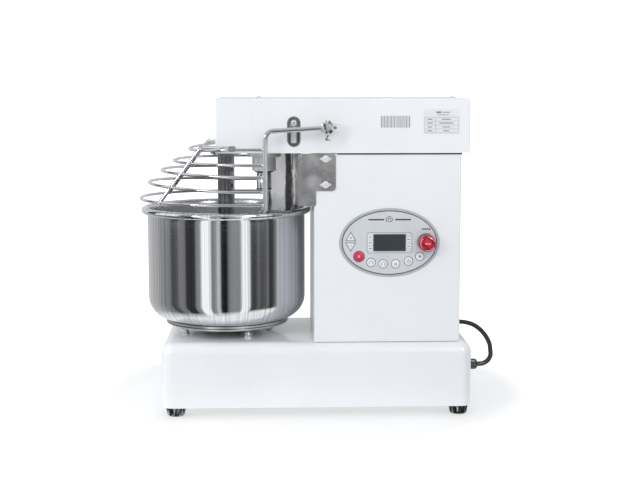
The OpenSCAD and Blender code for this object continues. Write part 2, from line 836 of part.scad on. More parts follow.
module guard_clamps() {
    tilt = atan((pivot_z + 0.3 - 463.6) / (pivot_x + 7));
    color("silver") for (s = [-1, 1]) difference() {
        block(14, 16, pivot_z - 9.5, pivot_z + 9.5, pivot_x, s * guard_y);
        translate([0, s * guard_y, 463.6]) rotate([0, 90 - tilt, 0]) cylinder(r = rod_d / 2 + gap, h = 60);
    }
}

module clamp_screws() {
    color("silver") for (s = [-1, 1]) translate([pivot_x, s * guard_y, pivot_z]) {
        post(2.5, 9.5, 12);
        translate([0, 0, 10]) cylinder(r = 4.2, h = 3.6, $fn = 6);
        post(3, -16, -9.5);
        translate([0, 0, -20]) cylinder(r = 4.5, h = 5, $fn = 6);
        translate([7.2, 0, 1.5]) rotate([0, 90, 0]) cylinder(r = 2.4, h = 6);
        translate([9, 0, 1.5]) rotate([0, 90, 0]) cylinder(r = 4.4, h = 4);
    }
}

module guard_switch() {
    color("#333333") {
        block(24, 14, 440, 456, pivot_x, -98);
        block(10, 12, head_z0 + 3, 440, pivot_x, -98);
    }
}

module labels() {
    y = -head_w / 2 - 0.15;
    color("white") {
        block(48, 0.3, 465, 484, 145, y);
        block(58, 0.3, 455, 494.5, 218, y);
    }
}

// ---- cord ----

module cable_gland() {
    color("#222222") translate([271 - sheet - 3, gland_y, gland_z]) rotate([0, 90, 0]) difference() {
        union() {
            cylinder(r = 11, h = 3, $fn = 6);
            cylinder(r = 8, h = 20);
            translate([0, 0, 5]) cylinder(r = 10, h = 4);
            translate([0, 0, 9]) cylinder(r = 8.6, h = 9);
            translate([0, 0, 18]) cylinder(r1 = 8.4, r2 = 5.6, h = gland_end - 284);
        }
        translate([0, 0, -1]) cylinder(r = cord_d / 2, h = 12);
    }
}

module power_cord() {
    color("#1a1a1a") for (p = [cord_route, plug_route]) tube(p, even(p, cord_d / 2), 8);
}

module cord_coil() {
    color("#1a1a1a") translate([coil_x, coil_y, coil_z]) rotate_extrude()
        translate([(coil_mean_d - coil_w) / 2, 0]) square([coil_w, coil_h]);
}

module cord_tie() {
    color("#333333") translate([coil_x, coil_y + coil_mean_d / 2, coil_z + coil_h / 2]) difference() {
        cube([8, coil_w + 4, coil_h + 2.2], center = true);
        cube([12, coil_w + 1.4, coil_h + 0.4], center = true);
    }
}

module plug() {
    color("#1a1a1a") translate([plug_x, plug_route[0][1], 0]) {
        round_prism(46, 30, 6, 0.2, 24);
        for (y = [-6, 6]) translate([-40, y, 12]) rotate([0, 90, 0]) cylinder(r = 2.4, h = 20);
        translate([22, 0, 12]) rotate([0, 90, 0]) cylinder(r1 = 8, r2 = 5, h = 18);
    }
}

base_housing();
base_bottom_plate();
feet();
column_housing();
rear_cover();
cover_screws();
head_chassis();
nose_cover();
head_cover();
slot_grommet();
belt_tensioner();
bowl_bearing_housing();
bearing_dome_nuts();
shaft_bearings();
spiral_bearing_housing();
breaker_bar();
splash_shield();
shield_screws();
panel_plate();
display_window();
control_board();
estop_body();
motor_body();
motor_mount();
drive_belt();
spiral_chain();
base_chains();
guard_bushes();
guard_switch();
labels();
cable_gland();
power_cord();
cord_coil();
cord_tie();
plug();
mixing_bowl();
bowl_collar();
bowl_shaft();
bowl_sprocket();
spiral_hook();
spiral_shaft();
spiral_sprocket();
countershaft();
motor_rotor();
motor_pulley();
idler_shaft();
guard_cage();
guard_shaft();
guard_clamps();
clamp_screws();
estop_stem();
estop_head();
key_stop();
key_1();
key_2();
key_3();
key_4();
key_5();
key_up();
key_down();
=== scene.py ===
"""Visible finish of a bench-top spiral dough mixer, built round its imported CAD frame."""
import json
from math import cos, pi, radians, sin, sqrt
import bmesh
import bpy
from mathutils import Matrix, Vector

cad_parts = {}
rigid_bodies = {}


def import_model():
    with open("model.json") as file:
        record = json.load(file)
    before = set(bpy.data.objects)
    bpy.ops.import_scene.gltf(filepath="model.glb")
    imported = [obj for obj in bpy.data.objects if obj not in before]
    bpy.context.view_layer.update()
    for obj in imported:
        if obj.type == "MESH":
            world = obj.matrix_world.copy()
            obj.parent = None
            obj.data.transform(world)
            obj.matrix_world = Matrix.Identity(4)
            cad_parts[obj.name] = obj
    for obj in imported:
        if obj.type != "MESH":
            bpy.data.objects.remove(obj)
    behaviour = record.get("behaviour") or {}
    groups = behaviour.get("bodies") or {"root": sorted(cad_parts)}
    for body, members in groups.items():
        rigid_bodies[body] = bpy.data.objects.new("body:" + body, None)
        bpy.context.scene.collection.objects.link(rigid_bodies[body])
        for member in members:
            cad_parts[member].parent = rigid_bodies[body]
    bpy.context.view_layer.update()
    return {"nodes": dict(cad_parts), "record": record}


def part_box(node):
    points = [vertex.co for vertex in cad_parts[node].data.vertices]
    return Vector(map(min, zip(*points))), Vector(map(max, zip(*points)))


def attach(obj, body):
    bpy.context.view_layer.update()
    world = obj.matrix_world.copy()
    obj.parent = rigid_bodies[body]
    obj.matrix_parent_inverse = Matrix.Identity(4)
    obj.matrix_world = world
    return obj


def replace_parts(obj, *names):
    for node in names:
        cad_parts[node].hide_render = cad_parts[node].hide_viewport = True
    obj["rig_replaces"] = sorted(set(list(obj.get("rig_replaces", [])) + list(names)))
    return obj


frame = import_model()
MM = 0.001
nodes = frame["nodes"]
node_body = {}
for body_name, names in frame["record"]["behaviour"]["bodies"].items():
    for name in names:
        node_body[name] = body_name
node_slot = {s["node"]: s["material_slot"] for s in frame["record"]["subparts"]}


def box_mm(node):
    """Lowest and highest corner of a CAD node, in millimetres."""
    low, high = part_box(node)
    return [v / MM for v in low], [v / MM for v in high]


def middle(node):
    """Centre of a CAD node's box, in millimetres."""
    low, high = box_mm(node)
    return [(a + b) / 2 for a, b in zip(low, high)]


# ---- places read from the frame, and wire sizes, in millimetres ----

bowl_low, bowl_high = box_mm("mixing_bowl")
bowl_x = middle("mixing_bowl")[0]
bowl_r = (bowl_high[0] - bowl_low[0]) / 2 - 10
bowl_z0, rim_z = bowl_low[2], bowl_high[2]
spiral_x = middle("spiral_shaft")[0]
panel_x, panel_z = middle("panel_plate")[0], middle("panel_plate")[2]
panel_y = box_mm("panel_plate")[0][1]
head_low, head_high = box_mm("head_cover")
ROD_D = 8.0
WIRE_D = 5.0
STAY_D = 6.6
guard_y = box_mm("guard_cage")[1][1] - ROD_D / 2


# ---- materials ----

def compute(tree, operation, a, b):
    """Result of a Math node; a and b are sockets or numbers."""
    node = tree.nodes.new("ShaderNodeMath")
    node.operation = operation
    for socket, value in zip(node.inputs, (a, b)):
        if isinstance(value, (int, float)):
            socket.default_value = value
        else:
            tree.links.new(value, socket)
    return node.outputs[0]


def spread(tree, value, start, end, low=0.0, high=1.0):
    """Maps a value from one range to another."""
    node = tree.nodes.new("ShaderNodeMapRange")
    for name, number in (("From Min", start), ("From Max", end), ("To Min", low), ("To Max", high)):
        node.inputs[name].default_value = number
    tree.links.new(value, node.inputs["Value"])
    return node.outputs["Result"]


class Shader:
    """A Principled material with object-space texture nodes."""

    def __init__(self, name, color, roughness, metallic=0.0, **sockets):
        self.material = bpy.data.materials.new(name)
        self.material.use_nodes = True
        self.tree = self.material.node_tree
        self.shader = self.tree.nodes["Principled BSDF"]
        self.coords = self.tree.nodes.new("ShaderNodeTexCoord").outputs["Object"]
        self.color = (*color, 1.0)
        self.put("Base Color", self.color)
        self.put("Roughness", roughness)
        self.put("Metallic", metallic)
        for key, value in sockets.items():
            self.put(key.replace("_", " "), value)

    def put(self, socket, value):
        self.shader.inputs[socket].default_value = value

    def link(self, a, b):
        self.tree.links.new(a, b)

    def noise(self, scale, stretch=(1, 1, 1), detail=4.0, roughness=0.5):
        """Noise value in object space, stretched per axis."""
        mapping = self.tree.nodes.new("ShaderNodeMapping")
        mapping.inputs["Scale"].default_value = stretch
        self.link(self.coords, mapping.inputs["Vector"])
        noise = self.tree.nodes.new("ShaderNodeTexNoise")
        noise.inputs["Scale"].default_value = scale
        noise.inputs["Detail"].default_value = detail
        noise.inputs["Roughness"].default_value = roughness
        self.link(mapping.outputs["Vector"], noise.inputs["Vector"])
        return noise.outputs["Fac"]

    def vary_color(self, value, other, low=0.35, high=0.7):
        """Mixes the base colour towards another where the noise is high."""
        ramp = self.tree.nodes.new("ShaderNodeValToRGB")
        ramp.color_ramp.elements[0].position = low
        ramp.color_ramp.elements[0].color = self.color
        ramp.color_ramp.elements[1].position = high
        ramp.color_ramp.elements[1].color = (*other, 1.0)
        self.link(value, ramp.inputs["Fac"])
        self.link(ramp.outputs["Color"], self.shader.inputs["Base Color"])
        return self

    def ramp(self, value, low, high, stops, socket):
        """Tone along a coordinate, from (place, level) stops in its own unit."""
        ramp = self.tree.nodes.new("ShaderNodeValToRGB")
        elements = ramp.color_ramp.elements
        elements[1].position = 1.0
        for element, level in ((elements[0], stops[0][1]), (elements[1], stops[-1][1])):
            element.color = (level, level, level, 1)
        for place, level in stops[1:-1]:
            elements.new((place - low) / (high - low)).color = (level, level, level * 1.015, 1)
        self.link(spread(self.tree, value, low, high), ramp.inputs["Fac"])
        self.link(ramp.outputs["Color"], self.shader.inputs[socket])

    def split(self):
        """Object-space X, Y and Z."""
        node = self.tree.nodes.new("ShaderNodeSeparateXYZ")
        self.link(self.coords, node.inputs[0])
        return node.outputs

    def uneven_x(self, wave, scale):
        """Object-space X, shifted a little by noise."""
        return compute(self.tree, "ADD", self.split()["X"],
                       compute(self.tree, "MULTIPLY", self.noise(scale, detail=2), wave))

    def streaks(self, center_x, scale):
        """Noise that changes only with the angle about an upright axis."""
        x, y, _ = self.split()
        angle = compute(self.tree, "ARCTAN2", compute(self.tree, "SUBTRACT", x, center_x),
                        compute(self.tree, "MULTIPLY", y, -1))
        noise = self.tree.nodes.new("ShaderNodeTexNoise")
        noise.noise_dimensions = "1D"
        for name, value in (("Scale", scale), ("Detail", 4), ("Roughness", 0.7)):
            noise.inputs[name].default_value = value
        self.link(angle, noise.inputs["W"])
        return noise.outputs["Fac"]

    def vary_roughness(self, value, low, high):
        """Roughness follows the noise between two values."""
        self.link(spread(self.tree, value, 0.3, 0.7, low, high), self.shader.inputs["Roughness"])
        return self

    def bump(self, value, strength, distance):
        node = self.tree.nodes.new("ShaderNodeBump")
        node.inputs["Strength"].default_value = strength
        node.inputs["Distance"].default_value = distance
        self.link(value, node.inputs["Height"])
        self.link(node.outputs["Normal"], self.shader.inputs["Normal"])
        return self


def white_paint(name="white_powder_coat", coat=0.25, gloss=0.12):
    s = Shader(name, (0.80, 0.813, 0.826), 0.34, Coat_Weight=coat, Coat_Roughness=gloss)
    s.vary_color(s.noise(14, detail=2), (0.78, 0.795, 0.81))
    s.vary_roughness(s.noise(60), 0.30, 0.40)
    return s.bump(s.noise(900, detail=2), 0.12, 0.0002).material


def polished_steel():
    s = Shader("polished_stainless", (0.74, 0.75, 0.77), 0.10, 1.0)
    s.vary_color(s.noise(5, (1, 1, 30)), (0.70, 0.71, 0.735))
    s.vary_roughness(s.noise(9, (1, 1, 60), 6), 0.05, 0.09)
    return s.bump(s.noise(6, (1, 1, 160), 5), 0.02, 0.0001).material


def wire_steel():
    s = Shader("wire_stainless", (0.76, 0.77, 0.785), 0.15, 1.0)
    s.vary_color(s.noise(40), (0.68, 0.69, 0.705))
    s.vary_roughness(s.noise(160), 0.10, 0.20)
    return s.bump(s.noise(700), 0.08, 0.0002).material


def brushed_steel(name="brushed_stainless", stretch=(160, 160, 2), tone=(0.48, 0.49, 0.505)):
    s = Shader(name, tone, 0.32, 1.0)
    s.vary_color(s.noise(5, stretch), tuple(v * 0.82 for v in tone))
    s.vary_roughness(s.noise(5, stretch, 6), 0.24, 0.40)
    return s.bump(s.noise(6, stretch, 6), 0.15, 0.0003).material


def bowl_steel():
    """Polished outside of the bowl, with fine upright dark streaks painted into the colour as streaked
    reflections.
    """
    s = Shader("bowl_stainless", (0.82, 0.83, 0.85), 0.07, 1.0)
    # painted reflection: thin upright streaks darken the colour by angle round the bowl
    s.vary_color(s.streaks(bowl_x * MM, 26), (0.54, 0.555, 0.575), 0.42, 0.66)
    s.vary_roughness(s.noise(9, (1, 1, 60), 6), 0.05, 0.09)
    return s.bump(s.noise(6, (1, 1, 160), 5), 0.02, 0.0001).material


def shield_steel():
    """Sheet with painted reflection: a painted light band where it is rolled, a painted dark band of
    reflection and shade along the roll, satin on the flat front.
    """
    s = Shader("shield_sheet", (0.5, 0.5, 0.51), 0.3)
    along = s.uneven_x(0.006, 45)
    # painted reflection: base colour along X, light on the roll, a dark painted band, satin tones on the flat
    # front
    s.ramp(along, -0.060, 0.060, [
        (-0.060, 0.90), (-0.030, 0.95), (-0.0252, 0.95), (-0.0240, 0.05), (-0.0160, 0.03), (-0.0140, 0.06),
        (-0.0134, 0.85), (-0.0118, 0.85), (-0.0108, 0.38), (0.004, 0.44), (0.018, 0.55), (0.030, 0.46),
        (0.060, 0.54)
    ], "Base Color")
    # metallic follows the same bands of painted reflection
    s.ramp(along, -0.060, 0.060, [
        (-0.060, 0.5), (-0.0252, 0.5), (-0.0240, 0.15), (-0.0112, 0.15), (-0.0102, 0.92), (0.060, 0.92)
    ], "Metallic")
    s.vary_roughness(s.noise(50, detail=3), 0.20, 0.42)
    return s.bump(s.noise(38, detail=3), 0.35, 0.0008).material


def breaker_steel():
    """Bar with upright bright and dark bands of painted reflection across its width."""
    s = Shader("breaker_steel", (0.85, 0.86, 0.875), 0.16, 1.0)
    # painted reflection: upright bands, bright and dark, set by stretched noise
    s.vary_color(s.noise(110, (1, 1, 0.03), 3), (0.12, 0.125, 0.13), 0.38, 0.62)
    return s.bump(s.noise(60, (1, 1, 6)), 0.05, 0.0002).material


def clamp_steel():
    """Bright plated clamp; dark patches placed by noise are painted shade for its hollows."""
    s = Shader("clamp_zinc", (0.90, 0.90, 0.905), 0.14, 0.9)
    # painted shade: dark patches placed by noise
    s.vary_color(s.noise(210, detail=2), (0.10, 0.105, 0.11), 0.52, 0.60)
    return s.bump(s.noise(400), 0.2, 0.0004).material


def foot_rubber():
    """Shiny moulded rubber with pale upright streaks painted in as highlights on its flutes."""
    s = Shader("foot_rubber", (0.004, 0.004, 0.005), 0.3, Specular_IOR_Level=0.2)
    # painted highlights: pale upright streaks from stretched noise
    s.vary_color(s.noise(230, (1, 1, 0.02), 1), (0.34, 0.36, 0.37), 0.55, 0.66)
    return s.bump(s.noise(300), 0.1, 0.0002).material


def zinc():
    s = Shader("bright_zinc", (0.78, 0.79, 0.80), 0.22, 0.9)
    s.vary_color(s.noise(120), (0.66, 0.67, 0.69))
    s.vary_roughness(s.noise(400), 0.20, 0.36)
    return s.bump(s.noise(900), 0.06, 0.0001).material


def machined_steel():
    s = Shader("machined_steel", (0.40, 0.40, 0.41), 0.35, 1.0)
    s.vary_color(s.noise(30, (1, 1, 12)), (0.30, 0.30, 0.31))
    return s.bump(s.noise(40, (1, 1, 30)), 0.1, 0.0003).material


def cast_iron():
    s = Shader("cast_iron", (0.06, 0.06, 0.065), 0.7, 0.6)
    s.vary_color(s.noise(90), (0.10, 0.095, 0.09))
    return s.bump(s.noise(500, detail=6), 0.5, 0.0006).material


def painted_casting():
    s = Shader("motor_paint", (0.10, 0.16, 0.26), 0.45)
    s.vary_color(s.noise(50), (0.085, 0.14, 0.23))
    return s.bump(s.noise(420), 0.3, 0.0004).material


def rubber():
    s = Shader("black_rubber", (0.012, 0.012, 0.013), 0.55)
    s.vary_color(s.noise(120), (0.025, 0.025, 0.027))
    s.vary_roughness(s.noise(260), 0.45, 0.65)
    return s.bump(s.noise(900), 0.25, 0.0002).material


def cord_sheath():
    s = Shader("cord_sheath", (0.006, 0.0065, 0.0075), 0.24, Coat_Weight=1.0, Coat_Roughness=0.10,
               Specular_IOR_Level=0.12)
    s.vary_color(s.noise(70), (0.014, 0.016, 0.018))
    s.vary_roughness(s.noise(200), 0.18, 0.30)
    return s.bump(s.noise(600), 0.12, 0.0002).material


def plastic(name, color, roughness=0.4, grain=500, **sockets):
    s = Shader(name, color, roughness, **sockets)
    s.vary_color(s.noise(35), tuple(v * 0.92 for v in color))
    s.vary_roughness(s.noise(140), roughness * 0.85, roughness * 1.15)
    return s.bump(s.noise(grain), 0.12, 0.0002).material


def red_moulding():
    """Glossy red plastic, mottled darker by noise."""
    s = Shader("red_moulding", (0.56, 0.012, 0.05), 0.16, Coat_Weight=1.0, Coat_Roughness=0.05)
    s.vary_color(s.noise(120, detail=2), (0.20, 0.0, 0.008), 0.40, 0.60)
    return s.bump(s.noise(300), 0.1, 0.0002).material


SLOT_MATERIALS = {
    "white_paint": white_paint(),
    "polished_steel": polished_steel(),
    "brushed_stainless": brushed_steel(),
    "zinc": zinc(),
    "machine_steel": machined_steel(),
    "cast_iron": cast_iron(),
    "motor_paint": painted_casting(),
    "rotor_metal": machined_steel(),
    "black_rubber": rubber(),
    "black_plastic": plastic("black_nylon", (0.010, 0.010, 0.011), 0.3, Coat_Weight=0.6),
    "grey_plastic": plastic("grey_moulding", (0.11, 0.113, 0.118), 0.4),
    "panel_silver": plastic("silver_film", (0.50, 0.52, 0.54), 0.42, 1200, Metallic=0.25),
    "display_dark": plastic("display_glass", (0.030, 0.042, 0.046), 0.16, 200, Coat_Weight=0.6),
    "board_green": plastic("circuit_board", (0.02, 0.12, 0.05), 0.5),
    "red_plastic": red_moulding(),
    "white_plastic": plastic("white_film", (0.80, 0.80, 0.81), 0.38),
}
WIRE = wire_steel()
CORD = cord_sheath()
SHIELD = shield_steel()
BOWL = bowl_steel()
BASE_PAINT = white_paint("white_gloss_coat", 0.8, 0.05)
BAR = breaker_steel()
CLAMP = clamp_steel()
ROLLER = plastic("roller_steel", (0.55, 0.56, 0.57), 0.4, 300, Metallic=0.3)
SCREW = plastic("bright_screw", (0.95, 0.95, 0.955), 0.2, 300, Metallic=0.35)
BEARING = plastic("bearing_enamel", (0.92, 0.925, 0.935), 0.2, 200, Metallic=0.2, Coat_Weight=0.5)
NUT = plastic("bright_fastener", (0.86, 0.865, 0.87), 0.16, 300, Metallic=0.85)
COLLAR = brushed_steel("collar_steel", (2, 2, 200), (0.74, 0.75, 0.765))
INNER = plastic("bowl_inner_steel", (0.74, 0.75, 0.77), 0.2, 200, Metallic=0.72)
FOOT = foot_rubber()
INK = plastic("dark_print", (0.06, 0.065, 0.07), 0.5)
GREY_INK = plastic("grey_print", (0.20, 0.205, 0.215), 0.5)
PALE_INK = plastic("pale_print", (0.36, 0.37, 0.39), 0.5)
FIELD = plastic("panel_field", (0.65, 0.67, 0.69), 0.40, 1200, Metallic=0.2)
LABEL = plastic("label_film", (0.74, 0.755, 0.77), 0.35)
STOP_KEY = plastic("stop_key_film", (0.60, 0.022, 0.09), 0.3)
PALE_RED = plastic("pale_red_print", (0.82, 0.34, 0.38), 0.35)


# ---- mesh helpers ----

def add_piece(name, mesh, body, slot, material=None):
    """Puts a mesh in the scene as a piece of the object."""
    obj = bpy.data.objects.new(name, mesh)
    bpy.context.scene.collection.objects.link(obj)
    mesh.materials.clear()
    mesh.materials.append(material or SLOT_MATERIALS[slot])
    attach(obj, body)
    return obj


def mesh_of(name, points, faces, smooth_angle=35, merge=0.0):
    """Mesh from points in millimetres; edges flatter than the angle are smooth."""
    mesh = bpy.data.meshes.new(name)
    mesh.from_pydata([tuple(c * MM for c in p) for p in points], [], faces)
    shade(mesh, smooth_angle, merge)
    return mesh


def shade(mesh, smooth_angle, merge, flatten=0.0):
    """Joins points closer than merge, in metres, and faces flatter than flatten, in degrees."""
    bm = bmesh.new()
    bm.from_mesh(mesh)
    if merge:
        bmesh.ops.remove_doubles(bm, verts=bm.verts, dist=merge)
    if flatten:
        bmesh.ops.dissolve_limit(bm, angle_limit=radians(flatten), verts=bm.verts, edges=bm.edges)
    bmesh.ops.recalc_face_normals(bm, faces=bm.faces)
    for face in bm.faces:
        face.smooth = True
    for edge in bm.edges:
        edge.smooth = len(edge.link_faces) == 2 and edge.calc_face_angle(0.0) < radians(smooth_angle)
    bm.to_mesh(mesh)
    bm.free()


def soften(piece, width, segments=2, angle=40):
    """Rounds the edges that are sharper than the angle; width in millimetres."""
    modifier = piece.modifiers.new("edges", "BEVEL")
    modifier.width = width * MM
    modifier.segments = segments
    modifier.limit_method = "ANGLE"
    modifier.angle_limit = radians(angle)


def skin(node, bevel=0.5, segments=2, material=None, smooth_angle=35):
    """Stands for a CAD node: the same mesh, cleaned, with rounded edges."""
    mesh = nodes[node].data.copy()
    mesh.name = node + "_skin"
    shade(mesh, smooth_angle, 1e-6, 0.6)
    piece = add_piece(node + "_skin", mesh, node_body[node], node_slot[node], material)
    if bevel:
        soften(piece, bevel, segments, 32)
    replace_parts(piece, node)
    return piece


def lathe(name, profile, center, segments=96, axis="Z", closed=False):
    """Mesh turned from (radius, height) points about an axis through center."""
    points, faces = [], []
    for i in range(segments):
        a = 2 * pi * i / segments
        for r, h in profile:
            u, v = r * cos(a), r * sin(a)
            local = (u, v, h) if axis == "Z" else (u, h, v) if axis == "Y" else (h, u, v)
            points.append([local[k] + center[k] for k in range(3)])
    n = len(profile)
    last = n if closed else n - 1
    for i in range(segments):
        for k in range(last):
            a, b = i * n + k, i * n + (k + 1) % n
            c, d = ((i + 1) % segments) * n + (k + 1) % n, ((i + 1) % segments) * n + k
            faces.append((a, b, c, d))
    return mesh_of(name, points, faces, merge=1e-7)


def spline(points, steps=6):
    """Smooth curve through points (Catmull-Rom)."""
    out = []
    for i in range(len(points) - 1):
        p0 = Vector(points[max(i - 1, 0)])
        p1, p2 = Vector(points[i]), Vector(points[i + 1])
        p3 = Vector(points[min(i + 2, len(points) - 1)])
        for k in range(steps):
            t = k / steps
            out.append(0.5 * (2 * p1 + (p2 - p0) * t + (2 * p0 - 5 * p1 + 4 * p2 - p3) * t * t
                              + (3 * p1 - p0 - 3 * p2 + p3) * t ** 3))
    out.append(Vector(points[-1]))
    return out


def ring_faces(rings, sides):
    """Quads between rings of points that follow one another."""
    faces = []
    for i in range(rings - 1):
        for k in range(sides):
            a, b = i * sides + k, i * sides + (k + 1) % sides
            faces.append((a, b, b + sides, a + sides))
    return faces


def tube_data(points, radius, sides=12):
    """Points and faces of a round tube with flat ends; radius is a number or a list."""
    radii = radius if isinstance(radius, list) else [radius] * len(points)
    verts = []
    side = None
    for i, p in enumerate(points):
        tangent = (points[min(i + 1, len(points) - 1)] - points[max(i - 1, 0)]).normalized()
        if side is None:
            side = tangent.cross(Vector((0.3, 0.2, 1))).normalized()
        side = (side - tangent * side.dot(tangent)).normalized()
        other = tangent.cross(side)
        for k in range(sides):
            a = 2 * pi * k / sides
            verts.append(p + (side * cos(a) + other * sin(a)) * radii[i])
    faces = ring_faces(len(points), sides)
    faces.append(tuple(range(sides - 1, -1, -1)))
    faces.append(tuple(range((len(points) - 1) * sides, len(points) * sides)))
    return verts, faces


def join_data(parts):
    """Joins several (points, faces) into one."""
    verts, faces = [], []
    for v, f in parts:
        base = len(verts)
        verts += [tuple(p) for p in v]
        faces += [tuple(i + base for i in face) for face in f]
    return verts, faces


def slab_data(outline, y0, y1):
    """Plate from an (x, z) outline between two depths along Y."""
    n = len(outline)
    verts = [(x, y0, z) for x, z in outline] + [(x, y1, z) for x, z in outline]
    faces = [tuple(range(n)), tuple(range(2 * n - 1, n - 1, -1))]
    faces += [(i, i + n, (i + 1) % n + n, (i + 1) % n) for i in range(n)]
    return verts, faces


def frame_data(outer, inner, y0, y1):
    """Flat ring between two matching (x, z) outlines."""
    n = len(outer)
    verts = [(x, y0, z) for x, z in outer] + [(x, y0, z) for x, z in inner]
    verts += [(x, y1, z) for x, z in outer] + [(x, y1, z) for x, z in inner]
    faces = []
    for i in range(n):
        j = (i + 1) % n
        faces.append((i, j, n + j, n + i))
        faces.append((2 * n + i, 3 * n + i, 3 * n + j, 2 * n + j))
        faces.append((i, 2 * n + i, 2 * n + j, j))
        faces.append((n + i, n + j, 3 * n + j, 3 * n + i))
    return verts, faces


def pierced_data(outline, holes, y0, y1):
    """Plate with holes, from (x, z) outlines, between two depths along Y."""
    bm = bmesh.new()
    for loop in [outline] + holes:
        ring = [bm.verts.new((x, y0, z)) for x, z in loop]
        for a, b in zip(ring, ring[1:] + ring[:1]):
            bm.edges.new((a, b))
    bmesh.ops.triangle_fill(bm, edges=bm.edges[:], use_beauty=True)
    back = bmesh.ops.extrude_face_region(bm, geom=bm.faces[:])["geom"]
    bmesh.ops.translate(bm, verts=[v for v in back if isinstance(v, bmesh.types.BMVert)], vec=(0, y1 - y0, 0))
    bm.verts.index_update()
    verts = [tuple(v.co) for v in bm.verts]
    faces = [tuple(v.index for v in face.verts) for face in bm.faces]
    bm.free()
    return verts, faces


def ellipse(cx, cz, a, b, n=96):
    return [(cx + a * cos(2 * pi * i / n), cz + b * sin(2 * pi * i / n)) for i in range(n)]


def rounded(cx, cz, w, h, r, n=6):
    """Rounded rectangle outline in X and Z."""
    points = []
    for sx, sz, start in ((1, 1, 0), (-1, 1, 90), (-1, -1, 180), (1, -1, 270)):
        for i in range(n + 1):
            a = radians(start + 90 * i / n)
            points.append((cx + sx * (w / 2 - r) + r * cos(a), cz + sz * (h / 2 - r) + r * sin(a)))
    return points


def arc_data(cx, cz, r0, r1, start, end, y0, y1, n=16):
    """Part of a flat ring, between two angles in degrees."""
    turn = [radians(start + (end - start) * i / n) for i in range(n + 1)]
    outline = [(cx + r1 * cos(a), cz + r1 * sin(a)) for a in turn]
    outline += [(cx + r0 * cos(a), cz + r0 * sin(a)) for a in reversed(turn)]
    return slab_data(outline, y0, y1)


def turned_arrow(cx, cz, r, w, start, end, y0, y1):
    """Curved arrow: an arc and its head, pointing the way the angle grows or shrinks."""
    way = 1 if end > start else -1
    a, tip = radians(end), radians(end + way * 200 * w / r / 3)
    head = [(cx + (r - 1.5 * w) * cos(a), cz + (r - 1.5 * w) * sin(a)),
            (cx + (r + 1.5 * w) * cos(a), cz + (r + 1.5 * w) * sin(a)),
            (cx + r * cos(tip), cz + r * sin(tip))]
    return [arc_data(cx, cz, r - w / 2, r + w / 2, start, end, y0, y1), slab_data(head, y0, y1)]


def rect_data(x0, x1, z0, z1, y0, y1):
    return slab_data([(x0, z0), (x1, z0), (x1, z1), (x0, z1)], y0, y1)


def fluted(profile, center, count, depth, axis="Z"):
    """Turned shape from (radius, height, plain) points; where not plain, the sides are fluted."""
    segments = count * 6
    points, faces = [], []
    n = len(profile)
    for i in range(segments):
        a = 2 * pi * i / segments
        wave = 1 - depth * (0.5 - 0.5 * cos(count * a)) ** 2
        for r, h, keep in profile:
            u, v = r * cos(a) * (1 if keep else wave), r * sin(a) * (1 if keep else wave)
            local = (u, v, h) if axis == "Z" else (h, u, v)
            points.append([local[k] + center[k] for k in range(3)])
    for i in range(segments):
        j = (i + 1) % segments
        faces += [(i * n + k, i * n + k + 1, j * n + k + 1, j * n + k) for k in range(n - 1)]
    faces.append(tuple(i * n for i in range(segments)))
    faces.append(tuple(i * n + n - 1 for i in reversed(range(segments))))
    return points, faces


def flat_piece(name, parts, body, slot, material, smooth_angle=35):
    verts, faces = join_data(parts)
    return add_piece(name, mesh_of(name, verts, faces, smooth_angle), body, slot, material)


# ---- camera, light and floor ----

def add_camera():
    data = bpy.data.cameras.new("camera")
    data.sensor_width = 36
    data.lens = 71.0
    camera = bpy.data.objects.new("camera", data)
    camera.location = (-0.0515, -2.1075, 0.5348)
    pitch_down, turn_right = 0.1236, 0.0385
    camera.rotation_euler = (pi / 2 - pitch_down, 0, -turn_right)
    bpy.context.scene.collection.objects.link(camera)
    bpy.context.scene.camera = camera


def add_area(name, place, target, size, power, in_gloss=False, in_diffuse=True):
    data = bpy.data.lights.new(name, "AREA")
    data.shape = "RECTANGLE"
    data.size, data.size_y = size
    data.energy = power
    light = bpy.data.objects.new(name, data)
    light.location = place
    light.rotation_euler = (Vector(target) - Vector(place)).to_track_quat("-Z", "Y").to_euler()
    light.visible_glossy = in_gloss
    light.visible_diffuse = in_diffuse
    bpy.context.scene.collection.objects.link(light)


# Brightness of the studio round the horizon, as (degrees from the camera side, level):
# just below eye level, as the bowl's wall sees it, and above, as the guard and sheet parts see it
LOW_BANDS = [
    (-180, 0.9), (-150, 0.85), (-118, 0.62), (-100, 0.38), (-88, 0.32), (-84, 0.10), (-74, 0.16),
    (-70, 0.34), (-62, 0.30), (-58, 0.05), (-46, 0.05), (-43, 0.35), (-37, 0.40), (-34, 1.7), (-23, 1.6),
    (-20, 0.38), (-14, 0.42), (-11, 0.95), (-8, 0.80), (-6, 0.02), (2, 0.02), (5, 0.36), (18, 0.42),
    (22, 0.5), (25, 1.7), (34, 1.5), (37, 0.10), (44, 0.08), (48, 0.22), (55, 0.10), (62, 0.25), (68, 0.06),
    (74, 0.10), (77, 0.40), (80, 0.42), (84, 0.06), (92, 0.10), (97, 1.1), (150, 1.0), (180, 0.9)
]
HIGH_BANDS = [
    (-180, 1.0), (-131, 1.0), (-127, 0.10), (-111, 0.10), (-107, 1.4), (-70, 1.4), (-64, 0.30), (-40, 0.22),
    (-34, 1.3), (-22, 1.3), (-16, 0.5), (-6, 0.45), (6, 0.55), (12, 0.7), (18, 1.4), (60, 1.4), (68, 0.35),
    (80, 0.35), (88, 1.2), (180, 1.0)
]


